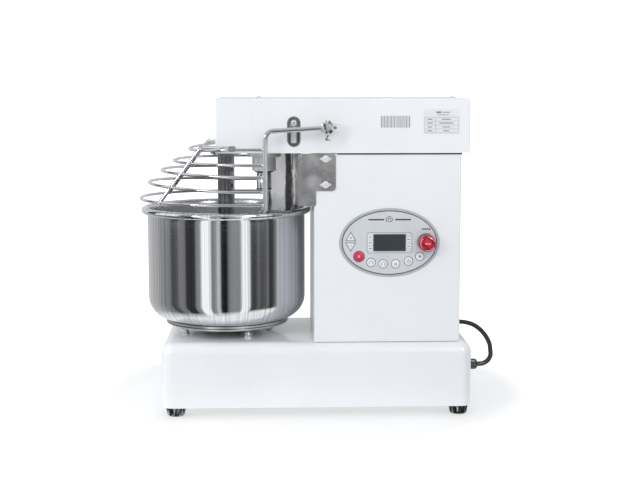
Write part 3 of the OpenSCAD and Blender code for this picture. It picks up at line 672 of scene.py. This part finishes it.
def add_bands(tree, turn, bands):
    """Colour following the bands; a colour ramp holds at most 32 stops, so there are two."""
    half = len(bands) // 2
    ramps = []
    for part in (bands[:half + 1], bands[half:]):
        ramp = tree.nodes.new("ShaderNodeValToRGB")
        elements = ramp.color_ramp.elements
        elements[1].position = 1.0
        elements[0].position = (part[0][0] + 180) / 360
        elements[0].color = (part[0][1], part[0][1], part[0][1], 1)
        elements[1].color = (part[-1][1], part[-1][1], part[-1][1], 1)
        for degrees, level in part[1:]:
            elements.new((degrees + 180) / 360).color = (level, level, level * 1.01, 1)
        tree.links.new(turn, ramp.inputs["Fac"])
        ramps.append(ramp)
    side = compute(tree, "GREATER_THAN", turn, (bands[half][0] + 180) / 360)
    return mix_colors(tree, side, ramps[0].outputs["Color"], ramps[1].outputs["Color"])


def mix_colors(tree, factor, a, b):
    """Mix node's result; a and b are sockets or colours."""
    node = tree.nodes.new("ShaderNodeMix")
    node.data_type = "RGBA"
    tree.links.new(factor, node.inputs["Factor"])
    for name, value in (("A", a), ("B", b)):
        if isinstance(value, tuple):
            node.inputs[name].default_value = value
        else:
            tree.links.new(value, node.inputs[name])
    return node.outputs["Result"]


def add_world():
    """White studio; glossy rays see soft upright bands that streak the steel."""
    world = bpy.data.worlds.new("studio")
    bpy.context.scene.world = world
    world.use_nodes = True
    tree = world.node_tree
    tree.nodes.clear()
    new = tree.nodes.new
    coords = new("ShaderNodeTexCoord").outputs["Generated"]
    split = new("ShaderNodeSeparateXYZ")
    tree.links.new(coords, split.inputs[0])
    angle = compute(tree, "ARCTAN2", split.outputs["X"], compute(tree, "MULTIPLY", split.outputs["Y"], -1))
    turn = spread(tree, angle, -pi, pi)
    height = split.outputs["Z"]
    wall = mix_colors(tree, spread(tree, height, -0.100, -0.088),
                      add_bands(tree, turn, LOW_BANDS), add_bands(tree, turn, HIGH_BANDS))
    studio = mix_colors(tree, spread(tree, height, 0.40, 0.80), wall, (0.95, 0.96, 0.98, 1))
    ray = new("ShaderNodeLightPath")
    lit = mix_colors(tree, ray.outputs["Is Glossy Ray"], (0.93, 0.965, 1.0, 1), studio)
    seen = mix_colors(tree, ray.outputs["Is Camera Ray"], lit, (2.0, 2.0, 2.0, 1))
    back = new("ShaderNodeBackground")
    back.inputs["Strength"].default_value = 0.72
    tree.links.new(seen, back.inputs["Color"])
    out = new("ShaderNodeOutputWorld")
    tree.links.new(back.outputs[0], out.inputs["Surface"])


def add_floor():
    place = (0.02, 0.08, -0.0005)
    bpy.ops.mesh.primitive_circle_add(vertices=96, radius=0.5, fill_type="NGON", location=place)
    floor = bpy.context.object
    floor.name = "floor"
    s = Shader("pale_floor", (0.42, 0.42, 0.424), 0.6)
    s.vary_color(s.noise(3), (0.41, 0.41, 0.414))
    s.put("Emission Color", (1, 1, 1, 1))
    s.put("Emission Strength", 0.53)
    length = s.tree.nodes.new("ShaderNodeVectorMath")
    length.operation = "LENGTH"
    s.link(s.coords, length.inputs[0])
    s.link(spread(s.tree, length.outputs["Value"], 0.34, 0.49, 1.0, 0.0), s.shader.inputs["Alpha"])
    floor.data.materials.append(s.material)


def set_stage():
    add_camera()
    add_world()
    add_area("key", (-1.6, -1.8, 0.98), (0, 0, 0.3), (0.4, 0.4), 9, True)
    add_area("edge", (0.9, -1.6, 0.95), (0.1, 0, 0.3), (0.45, 0.45), 9, True, False)
    add_area("front", (0.2, -2.7, 0.42), (0, 0, 0.25), (2.4, 0.8), 4.3)
    add_area("left", (-2.0, 0.1, 0.7), (0, 0, 0.25), (1.2, 1.2), 17)
    add_area("high", (0.05, -1.15, 1.05), (0.05, -0.1, 0.5), (1.6, 0.5), 4.8)
    add_area("top", (0.0, -0.5, 2.2), (0, 0, 0.2), (1.6, 1.2), 3)
    add_floor()
    bpy.context.scene.view_settings.view_transform = "Standard"


# ---- power cord ----

CORD_D = 8.0
# The cord's route from the gland to the coil, in millimetres, as in the CAD source
CORD_ROUTE = [
    (288, -40, 67), (294, -40, 67), (303, -39, 68), (312, -35, 73), (317, -29, 82), (317, -21, 94),
    (312, -12, 107), (303, -3, 118), (292, 6, 125), (280, 15, 127.5), (270, 24, 127),
    (262, 36, 125.6), (257, 50, 125.1), (256, 68, 125.1), (256, 88, 125.1), (256, 106, 125),
    (256, 122, 120), (256, 133, 109), (256, 137.5, 94), (256, 138, 72), (256, 138, 50),
    (256, 140, 34), (255, 147, 19), (252, 158, 8), (243, 170, 4.3), (228, 178, 4.2),
    (208, 181.5, 4.6), (194, 182, 5.2)
]
PLUG_ROUTE = [(166, 186, 12.2), (150, 186, 12.4), (130, 186, 12.2), (112, 186, 12)]
COIL_RADII = [54, 46, 38, 42, 50]
COIL_LAYERS = [5.3, 5.3, 5.3, 12.2, 12.2]
STEPS_PER_TURN = 30


def coil_points():
    """Five turns: three on the floor winding inwards, two on top winding outwards."""
    cx, cy = middle("cord_coil")[:2]
    points = []
    total = len(COIL_RADII)
    for i in range(total * STEPS_PER_TURN + 1):
        t = min(i / STEPS_PER_TURN, total - 1e-6)
        k = int(t)
        into = max(0.0, (t - k - 0.75) / 0.25) if k < total - 1 else 0.0
        share = into * into * (3 - 2 * into)
        j = min(k + 1, total - 1)
        r = COIL_RADII[k] + (COIL_RADII[j] - COIL_RADII[k]) * share
        z = COIL_LAYERS[k] + (COIL_LAYERS[j] - COIL_LAYERS[k]) * share
        a = -pi / 2 - 2 * pi * i / STEPS_PER_TURN
        points.append((cx + r * cos(a), cy + r * sin(a), z))
    return points


def add_cord():
    whole = CORD_ROUTE + coil_points() + PLUG_ROUTE
    widest = box_mm("power_cord")[1][0] - CORD_D / 2
    path = [Vector((min(p.x, widest), p.y, p.z)) for p in spline(whole, 4)]
    data = bpy.data.curves.new("power_cord_run", "CURVE")
    data.dimensions = "3D"
    data.bevel_depth = CORD_D / 2 * MM
    data.bevel_resolution = 4
    run = data.splines.new("POLY")
    run.points.add(len(path) - 1)
    for point, p in zip(run.points, path):
        point.co = (p.x * MM, p.y * MM, p.z * MM, 1)
    run.use_smooth = True
    data.use_fill_caps = True
    data.materials.append(CORD)
    cord = bpy.data.objects.new("power_cord_run", data)
    bpy.context.scene.collection.objects.link(cord)
    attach(cord, "chassis")
    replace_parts(cord, "power_cord", "cord_coil")
    tie = skin("cord_tie", 0.3)
    plug = skin("plug", 1.2, 3)
    gland_place = (box_mm("base_housing")[1][0], *CORD_ROUTE[0][1:])
    nut = [(11, 0, True), (11, 2.6, True), (9.4, 3.2, True), (8.9, 4.0, False), (8.9, 16.5, False),
           (8.3, 18.6, False), (6.6, 20.4, True), (4.2, 20.8, True)]
    verts, faces = fluted(nut, gland_place, 12, 0.10, "X")
    gland = add_piece("gland_nut", mesh_of("gland_nut", verts, faces), "chassis", "black_rubber",
                      SLOT_MATERIALS["black_plastic"])
    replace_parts(gland, "cable_gland")


set_stage()
add_cord()


# ---- white housings ----

SEAM_X = box_mm("nose_cover")[1][0] + 0.2
# The dark strip of painted shade starts just right of the splash shield's tab
SHADE_STRIP_X0 = 53


def add_seam():
    """Joggled lip of the nose cover, which shows in the joint between the two head covers."""
    y, z0, z1 = head_high[1] - 0.35, head_low[2] + 0.3, head_high[2] - 0.35
    outside = [(-y, z0), (-y, z1), (y, z1), (y, z0)]
    section = outside + [(y - 1, z0), (y - 1, z1 - 1), (1 - y, z1 - 1), (1 - y, z0)]
    verts = [(x, y, z) for x in (SEAM_X - 5, SEAM_X + 5) for y, z in section]
    n = len(section)
    faces = [(i, (i + 1) % n, (i + 1) % n + n, i + n) for i in range(n)]
    faces += [(0, 1, 6, 7), (1, 2, 5, 6), (2, 3, 4, 5)]
    faces += [(n, n + 7, n + 6, n + 1), (n + 1, n + 6, n + 5, n + 2), (n + 2, n + 5, n + 4, n + 3)]
    add_piece("seam_lip", mesh_of("seam_lip", verts, faces), "chassis", "white_paint")


def add_shade_strip():
    """Dark strip between the column and the head, painted shade for the gap under the head cover."""
    column = box_mm("column_housing")[1]
    x0, x1, y = SHADE_STRIP_X0, column[0] + 0.7, column[1] + 0.7
    z0, z1 = column[2] - 1.4, column[2] + 0.9
    outer = [(x0, -y), (x1, -y), (x1, y), (x0, y)]
    inner = [(x0, 3 - y), (x1 - 3, 3 - y), (x1 - 3, y - 3), (x0, y - 3)]
    verts, faces = frame_data(outer, inner, z0, z1)
    verts = [(x, v, z) for x, z, v in verts]
    add_piece("head_shade_strip", mesh_of("head_shade_strip", verts, faces), "chassis", "black_rubber")


skin("base_housing", 1.0, 3, BASE_PAINT)
skin("column_housing", 0.9, 3)
skin("nose_cover", 0.25, 2)
skin("head_cover", 0.25, 2)
add_seam()
add_shade_strip()
skin("rear_cover", 0.4)
skin("spiral_bearing_housing", 0.8, 3, BEARING)


# ---- bowl ----

def bowl_profile():
    """Closed wall profile of the bowl: outside up, rolled rim, inside down."""
    wall, corner, bead = 1.6, 37.0, 5.7
    cr, cz = bowl_r - corner, bowl_z0 + corner
    points = [(0, bowl_z0)]
    points += [(cr + corner * cos(radians(a)), cz + corner * sin(radians(a))) for a in range(-90, 1, 5)]
    points += [(bowl_r, cz + 3), (bowl_r, rim_z - 16), (bowl_r, rim_z - 13)]
    points += [(bowl_r + 4.3 + bead * cos(radians(a)), rim_z - bead + bead * sin(radians(a)))
               for a in range(-130, 171, 15)]
    points += [(bowl_r - wall, rim_z - 9), (bowl_r - wall, rim_z - 13), (bowl_r - wall, cz + 3)]
    points += [(cr + (corner - wall) * cos(radians(a)), cz + (corner - wall) * sin(radians(a)))
               for a in range(0, -91, -5)]
    points.append((0, bowl_z0 + wall))
    return points


bowl_mesh = lathe("bowl_shell", bowl_profile(), (bowl_x, 0, 0), 180)
bowl = add_piece("bowl_shell", bowl_mesh, "bowl", "polished_steel", BOWL)
bowl.data.materials.append(INNER)
for face in bowl.data.polygons:
    outward = face.normal.x * (face.center.x - bowl_x * MM) + face.normal.y * face.center.y
    floor_face = face.normal.z > 0.5 and face.center.z < (bowl_z0 + 30) * MM
    face.material_index = 1 if outward < -0.02 or floor_face else 0
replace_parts(bowl, "mixing_bowl")
skin("bowl_collar", 0.8, 3, COLLAR)
# dark rings on the collar: painted shade where its steps meet
for place, z in (("upper", 145.2), ("lower", 140.8)):
    shade_ring = [(100, z - 0.6), (102.2, z - 0.6), (102.35, z), (102.2, z + 0.6), (100, z + 0.6)]
    line_mesh = lathe("collar_shade_line_" + place, shade_ring, (bowl_x, 0, 0), 96, closed=True)
    add_piece("collar_shade_line_" + place, line_mesh, "bowl", "black_rubber")
skin("bowl_shaft", 0.5)
skin("bearing_dome_nuts", 0.3, 2, NUT)


# ---- spiral tool and breaker bar ----

SPIRAL_R = 37.0
SPIRAL_D = 13.0


def ease(t):
    t = min(max(t, 0.0), 1.0)
    return t * t * (3 - 2 * t)


def spiral_point(t):
    r = 5 + (SPIRAL_R - 5) * ease((t - 0.04) / 0.34) - 16 * ease((t - 0.86) / 0.16)
    a = radians(10 - 500 * ease((t + 0.12) / 1.12 * 0.96))
    return Vector((spiral_x + r * cos(a), r * sin(a), 366 - 206 * t))


def add_spiral():
    steps = 200
    points = [spiral_point(i / steps) for i in range(steps + 1)]
    radii = [SPIRAL_D / 2 * sqrt(min(1.0, (steps - i + 0.4) / 5)) for i in range(steps + 1)]
    verts, faces = tube_data(points, radii, 20)
    hook = add_piece("spiral_bar", mesh_of("spiral_bar", verts, faces, 60), "spiral", "polished_steel")
    shank = [(0, 357.5), (11.4, 357.5), (12.5, 358.6), (12.5, 387.4), (12.1, 388), (0, 388)]
    add_piece("spiral_shank", lathe("spiral_shank", shank, (spiral_x, 0, 0), 64), "spiral", "polished_steel")
    for name, r, z in (("seal_upper", 15.7, 388.9), ("seal_lower", 12.9, 360.4)):
        ring = [(r - 3, z - 0.8), (r - 0.3, z - 0.8), (r, z - 0.4), (r, z + 0.4), (r - 0.3, z + 0.8),
                (r - 3, z + 0.8)]
        add_piece(name, lathe(name, ring, (spiral_x, 0, 0), 64, closed=True), "spiral", "black_rubber")
    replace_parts(hook, "spiral_hook")


add_spiral()
skin("spiral_shaft", 0.5)
skin("breaker_bar", 0.6, 2, BAR)
skin("splash_shield", 0.25, 2, SHIELD)
skin("shield_screws", 0.25, 2, SCREW)
skin("cover_screws", 0.25)


# ---- guard ----

# Hoops from the top down: nose X, centre X, height at the nose, height at the legs
HOOPS = [
    (-187, -115, 428, 432), (-213, -98, 408.5, 407.5), (-233.5, -97, 392.5, 388.5),
    (-254.5, -115, 372.5, 365.5), (-268.5, -130, 346, 345)
]
ROD_X = -61.0
PIVOT = (37.0, 466.0)


def hoop_path(nose, centre, z_nose, z_leg):
    points = [Vector((ROD_X, -guard_y, z_leg))]
    for a in range(-90, 91, 5):
        t = radians(a)
        points.append(Vector((centre - (centre - nose) * cos(t), guard_y * sin(t),
                              z_leg + (z_nose - z_leg) * cos(t))))
    points.append(Vector((ROD_X, guard_y, z_leg)))
    return points


def rod_path(side):
    points = [Vector((ROD_X, side * guard_y, 337)), Vector((ROD_X, side * guard_y, 400))]
    for a in range(0, 91, 9):
        t = radians(a)
        points.append(Vector((ROD_X + 13 - 13 * cos(t), side * guard_y, 448 + 13 * sin(t))))
    points += [Vector((0, side * guard_y, 463.6)), Vector((PIVOT[0] + 7, side * guard_y, PIVOT[1] + 0.3))]
    return points


def stay_path(side):
    points = [(-231, 95, 344), (-214, 96, 367), (-166, 100, 429.5), (-158, 106, 433.5),
              (-148, 115, 434.2), (-132, 129, 433.8), (-113, 138, 434)]
    return spline([(x, side * y, z) for x, y, z in points], 6)


def bead_data(place, rx, ry, rz, rings=8, sides=12):
    """Small weld bead."""
    verts = []
    for i in range(rings + 1):
        lat = pi * i / rings - pi / 2
        for k in range(sides):
            lon = 2 * pi * k / sides
            verts.append((place[0] + rx * cos(lat) * cos(lon), place[1] + ry * cos(lat) * sin(lon),
                          place[2] + rz * sin(lat)))
    return verts, ring_faces(rings + 1, sides)


def add_guard():
    wires = [tube_data(hoop_path(*h), WIRE_D / 2, 12) for h in HOOPS]
    wires += [tube_data(stay_path(s), STAY_D / 2, 14) for s in (-1, 1)]
    rods = [tube_data(rod_path(s), ROD_D / 2, 20) for s in (-1, 1)]
    beads = [bead_data((ROD_X - 3.5, s * guard_y, h[3]), 4.5, 3.6, 3.6) for h in HOOPS for s in (-1, 1)]
    clips = [slab_data(rounded(-112.5, 433.2, 11, 9, 2), s * guard_y - 4, s * guard_y + 4) for s in (-1, 1)]
    guard = flat_piece("guard_rods", rods, "guard", "polished_steel", WIRE, 60)
    flat_piece("guard_wires", wires, "guard", "polished_steel", WIRE, 60)
    flat_piece("guard_welds", beads, "guard", "polished_steel", WIRE, 60)
    flat_piece("guard_clips", clips, "guard", "polished_steel", WIRE)
    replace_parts(guard, "guard_cage")


add_guard()


def hexagon(cx, cz, r):
    return [(cx + r * cos(radians(60 * i)), cz + r * sin(radians(60 * i))) for i in range(6)]


def add_clamps():
    """Cross clamps of the guard: chamfered block, washer and hexagon screws on four sides."""
    x, z = PIVOT
    blocks, bolts = [], []
    for side in (-1, 1):
        near, face, far = side * (guard_y - 7.6), side * (guard_y + 5.6), side * (guard_y + 8)
        blocks.append(slab_data(rounded(x - 1.5, z, 18.5, 19, 6, 5), near, face))
        bolts.append(slab_data(ellipse(x, z, 6.2, 6.2, 32), face, side * (guard_y + 6.4)))
        bolts.append(slab_data(hexagon(x, z, 4.8), side * (guard_y + 6.4), far))
        y = side * guard_y
        stack = [((0, 0, -8), 3.2, (0, 0, -15.4), 20), ((0, 0, -15.2), 4.6, (0, 0, -19.8), 6),
                 ((0, 0, 8), 4.4, (0, 0, 11.2), 6), ((6.5, 0, 1.5), 2.6, (9.2, 0, 1.5), 16),
                 ((9, 0, 1.5), 4.8, (13.4, 0, 1.5), 6)]
        for a, r, b, sides in stack:
            ends = [Vector((x + p[0], y + p[1], z + p[2])) for p in (a, b)]
            bolts.append(tube_data(ends, r, sides))
    clamp = flat_piece("clamp_blocks", blocks, "guard", "zinc", CLAMP)
    heads = flat_piece("clamp_bolts", bolts, "guard", "zinc", CLAMP)
    soften(clamp, 1.6, 3)
    soften(heads, 0.4)
    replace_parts(clamp, "guard_clamps")
    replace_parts(heads, "clamp_screws")


add_clamps()
skin("guard_shaft", 0.4)
skin("guard_bushes", 0.4)


# ---- control panel ----

ROUND_KEYS = ("key_1", "key_2", "key_3", "key_4", "key_5")
ARROW_KEYS = ("key_up", "key_down")


def key_radius(name):
    low, high = box_mm(name)
    return (high[0] - low[0]) / 2


def add_panel():
    y = panel_y
    top, under = y - 0.22, y + 0.2
    wx, _, wz = middle("display_window")
    skin("panel_plate", 0.4)
    frame_parts = [frame_data(rounded(wx, wz, 72.4, 33.6, 4), rounded(wx, wz, 71.2, 32.4, 3.4), top, under)]
    holes = []
    for name in ROUND_KEYS + ("key_stop",):
        (cx, _, cz), r = middle(name), key_radius(name)
        holes.append(ellipse(cx, cz, r + 0.3, r + 0.3, 48))
        frame_parts.append(arc_data(cx, cz, r + 0.3, r + 1.1, 0, 360, top, under, 48))
    for name in ARROW_KEYS:
        low_k, high_k = box_mm(name)
        base, tip = (low_k[2], high_k[2]) if name == "key_up" else (high_k[2], low_k[2])
        way = 1 if tip > base else -1
        holes.append([(low_k[0] - 0.5, base - 0.3 * way), (high_k[0] + 0.5, base - 0.3 * way),
                      (middle(name)[0], tip + 0.6 * way)])
    field = pierced_data(ellipse(panel_x, panel_z, 75.2, 50.6), holes, y - 0.03, under)
    outer, inner = ellipse(panel_x, panel_z, 76.2, 51.6), ellipse(panel_x, panel_z, 74.9, 50.3)
    line = frame_data(outer, inner, top, under)
    boxes, marks = [], []
    for side, rows in ((-1, (9, 0, -9)), (1, (5, -6))):
        for dz in rows:
            cx, cz = wx + side * 30.8, wz + dz
            boxes.append(slab_data(rounded(cx, cz, 7.4, 5.6, 1.2, 3), top, under))
            marks.append(rect_data(cx - 2.4, cx + 2.4, cz - 0.7, cz + 0.7, top - 0.1, under))
    bezel = frame_data(rounded(wx, wz, 52.4, 27.6, 2.2), rounded(wx, wz, 48.8, 24.2, 1.4), y - 0.5, y + 0.3)
    # a spiral tool symbol between two rules, where such panels carry a heading
    hx, hz = panel_x, panel_z + 37
    heading = [rect_data(hx - 34, hx - 9, hz - 1.2, hz + 1.2, top, under),
               rect_data(hx + 9, hx + 34, hz - 1.2, hz + 1.2, top, under)]
    for k in range(26):
        a0, r = -40 + 24 * k, 0.8 + 0.19 * k
        heading.append(arc_data(hx, hz, r - 0.1, r + 0.8, a0, a0 + 26, top, under, 3))
    stop_x, _, stop_z = middle("estop_head")
    for k in range(4):
        x = stop_x - 7 + 3.6 * k
        heading.append(rect_data(x, x + 2.6, stop_z + 20, stop_z + 22.4, top, under))
    flat_piece("panel_field", [field], "chassis", "panel_silver", FIELD)
    flat_piece("panel_line", [line] + heading, "chassis", "panel_silver", INK)
    flat_piece("panel_frame", frame_parts, "chassis", "panel_silver", GREY_INK)
    flat_piece("panel_boxes", boxes, "chassis", "panel_silver", SLOT_MATERIALS["white_plastic"])
    flat_piece("panel_marks", marks, "chassis", "panel_silver", GREY_INK)
    flat_piece("display_bezel", [bezel], "chassis", "display_dark", INK)
    glass = slab_data(rounded(wx, wz, 49.0, 24.4, 1.5), y - 0.3, y + 0.3)
    flat_piece("display_glass", [glass], "chassis", "display_dark", None)
    skin("display_window", 0.2)


def add_keys():
    """Key caps with plain pictograms: turn left, turn right, pause, timer, start and stop."""
    for name in ROUND_KEYS + ("key_stop",) + ARROW_KEYS:
        skin(name, 0.5, 2, STOP_KEY if name == "key_stop" else None)
        low_k, high_k = box_mm(name)
        cx, _, cz = middle(name)
        y0, y1 = low_k[1] - 0.12, low_k[1] + 0.04
        if name == "key_1":
            icon = turned_arrow(cx, cz, 3.0, 0.8, -60, 200, y0, y1)
        elif name == "key_2":
            icon = turned_arrow(cx, cz, 3.0, 0.8, 240, -20, y0, y1)
        elif name == "key_3":
            icon = [rect_data(cx - 2.2, cx - 0.8, cz - 2.4, cz + 2.4, y0, y1),
                    rect_data(cx + 0.8, cx + 2.2, cz - 2.4, cz + 2.4, y0, y1)]
        elif name == "key_4":
            icon = [arc_data(cx, cz, 2.5, 3.2, 0, 360, y0, y1, 32),
                    rect_data(cx - 0.3, cx + 0.3, cz, cz + 2, y0, y1),
                    rect_data(cx, cx + 1.7, cz - 0.3, cz + 0.3, y0, y1)]
        elif name == "key_5":
            icon = [slab_data([(cx - 1.8, cz - 2.5), (cx + 2.6, cz), (cx - 1.8, cz + 2.5)], y0, y1)]
        elif name == "key_stop":
            icon = [rect_data(cx - 1.9, cx + 1.9, cz - 1.9, cz + 1.9, y0, y1)]
        else:
            up = 1 if name == "key_up" else -1
            mid = cz - up * 1.8
            icon = [rect_data(cx - 1.9, cx + 1.9, mid - 0.45, mid + 0.45, y0, y1)]
            if up == 1:
                icon.append(rect_data(cx - 0.45, cx + 0.45, mid - 1.9, mid + 1.9, y0, y1))
        ink = PALE_RED if name == "key_stop" else GREY_INK
        flat_piece(name + "_icon", icon, node_body[name], node_slot[name], ink)
        if name in ARROW_KEYS:
            add_triangle_outline(name, low_k, high_k)


def add_triangle_outline(name, low_k, high_k):
    """Thin printed border round an arrow key."""
    x0, x1, z0, z1 = low_k[0], high_k[0], low_k[2], high_k[2]
    cx = (x0 + x1) / 2
    inner = [(x0 - 1.2, z0 - 0.7), (x1 + 1.2, z0 - 0.7), (cx, z1 + 1.4)]
    outer = [(x0 - 2.5, z0 - 1.4), (x1 + 2.5, z0 - 1.4), (cx, z1 + 3.0)]
    if name == "key_down":
        inner = [(x, z0 + z1 - z) for x, z in inner]
        outer = [(x, z0 + z1 - z) for x, z in outer]
    flat_piece(name + "_border", [frame_data(outer, inner, panel_y - 0.22, panel_y + 0.2)], "chassis",
               "panel_silver", GREY_INK)


def add_stop_button():
    """Mushroom head with a dished ring and three turn-to-release arrows."""
    cx, _, cz = middle("estop_head")
    back = box_mm("estop_head")[1][1]
    profile = [(0, 0), (11, 0), (13.7, 2.2), (14.3, 3.2), (14.3, 8.2), (13.9, 10.0), (12.6, 12.0),
               (10.8, 13.2), (9.7, 13.5), (9.1, 13.1), (8.8, 12.5), (7.6, 12.5), (7.2, 13.2), (6.6, 13.7),
               (0, 14.2)]
    mesh = lathe("estop_mushroom_head", [(r, -h) for r, h in profile], (cx, back, cz), 96, "Y")
    head = add_piece("estop_mushroom_head", mesh, "estop_mushroom", "red_plastic")
    arrows = []
    for start in (20, 140, 260):
        arrows += turned_arrow(cx, cz, 11.2, 1.0, start + 70, start, back - 13.35, back - 12.6)
    arrows.append(rect_data(cx - 4.6, cx + 4.6, cz - 0.9, cz + 0.9, back - 14.15, back - 13.5))
    flat_piece("estop_arrows", arrows, "estop_mushroom", "red_plastic", PALE_RED)
    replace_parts(head, "estop_head")


add_panel()
add_keys()
skin("estop_body", 0.5)
skin("estop_stem", 0.3)
add_stop_button()
skin("slot_grommet", 0.3, 2, SLOT_MATERIALS["grey_plastic"])
skin("belt_tensioner", 0.4)


def add_tensioner_face():
    """Bright roller and bolt that show through the slot."""
    tx, ty = middle("belt_tensioner")[0], box_mm("belt_tensioner")[0][1]
    low, high, bolt_z = 440, 463, 472.6
    profile = [(0, low), (6, low), (7.2, low + 1.2), (7.2, high - 1.2), (6, high), (0, high)]
    roller = lathe("tension_roller", profile, (tx, ty + 10, 0), 48)
    add_piece("tension_roller", roller, "chassis", "zinc", ROLLER)
    head = flat_piece("tension_bolt", [slab_data(hexagon(tx, bolt_z, 3.9), ty + 0.6, ty + 4.2),
                                       slab_data(ellipse(tx, bolt_z, 5, 5, 40), ty + 4.2, ty + 5.4)],
                      "chassis", "zinc", SCREW)
    soften(head, 0.6)


add_tensioner_face()


# ---- labels: a bar pattern and a ruled table without wording ----

BAR_WIDTHS = [1.2, 0.7, 1.1, 0.6, 1.3, 0.7, 0.9, 1.3, 0.6, 1.1,
              0.7, 0.6, 1.3, 0.8, 1.2, 0.6, 0.9, 1.2, 0.7, 1.3]
BAR_GAP = 1.7
BARCODE = (121, 169, 465, 484)
PLATE = (189, 247, 455, 494.5)


def add_labels():
    skin("labels", 0, 0, LABEL)
    y0, y1 = box_mm("labels")[0][1] - 0.12, box_mm("labels")[0][1] + 0.1
    x0, x1, z0, z1 = BARCODE
    scale = (x1 - x0 - 1) / sum(w + BAR_GAP for w in BAR_WIDTHS)
    bars, x = [], x0 + 0.6
    for w in BAR_WIDTHS:
        bars.append(rect_data(x, x + w * scale, z0 + 0.4, z1 - 0.4, y0, y1))
        x += (w + BAR_GAP) * scale
    flat_piece("label_bars", bars, "chassis", "white_plastic", GREY_INK)
    x0, x1, z0, z1 = PLATE
    left, right, split, base, row = x0 + 2, x1 - 2.5, x0 + 19, z0 + 2, 6.1
    rules = [rect_data(left, right, base + row * k - 0.25, base + row * k + 0.25, y0, y1) for k in range(5)]
    rules += [rect_data(x - 0.25, x + 0.25, base, base + 4 * row, y0, y1) for x in (left, split, right)]
    lines = [rect_data(left + 18, left + 26, z1 - 6.6, z1 - 4, y0, y1),
             rect_data(left + 28, left + 40, z1 - 5.8, z1 - 4.6, y0, y1),
             rect_data(left + 20, left + 38, z1 - 9.6, z1 - 8.8, y0, y1)]
    for k, (a, b) in enumerate(((8, 9), (7, 12), (9, 22), (8, 14))):
        z = base + row * (k + 0.5)
        lines.append(rect_data(left + 8 - a / 2, left + 8 + a / 2, z - 0.7, z + 0.7, y0, y1))
        lines.append(rect_data(split + 17 - b / 2, split + 17 + b / 2, z - 0.7, z + 0.7, y0, y1))
    flat_piece("plate_rules", rules, "chassis", "white_plastic", PALE_INK)
    flat_piece("plate_lines", lines, "chassis", "white_plastic", GREY_INK)


add_labels()


# ---- feet ----

FOOT_PROFILE = [
    (11, 0, True), (12.6, 0.5, True), (13.6, 1.8, False), (14.4, 4, False), (15.4, 9, False),
    (16, 12.6, False), (16.4, 13.6, True), (16.5, 16, True)
]


def add_feet():
    low_f, high_f = box_mm("feet")
    parts = []
    for x in (low_f[0] + 16.5, high_f[0] - 16.5):
        for y in (low_f[1] + 16.5, high_f[1] - 16.5):
            parts.append(fluted(FOOT_PROFILE, (x, y, 0), 14, 0.13))
    feet = flat_piece("rubber_feet", parts, "chassis", "black_rubber", FOOT, 28)
    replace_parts(feet, "feet")


add_feet()


# ---- inner and remaining nodes keep their shapes and take finished materials ----

def finish_remaining():
    replaced = {n for o in bpy.data.objects for n in list(o.get("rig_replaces", []))}
    for node, obj in nodes.items():
        if node in replaced:
            continue
        obj.data.materials.clear()
        obj.data.materials.append(SLOT_MATERIALS[node_slot[node]])


finish_remaining()
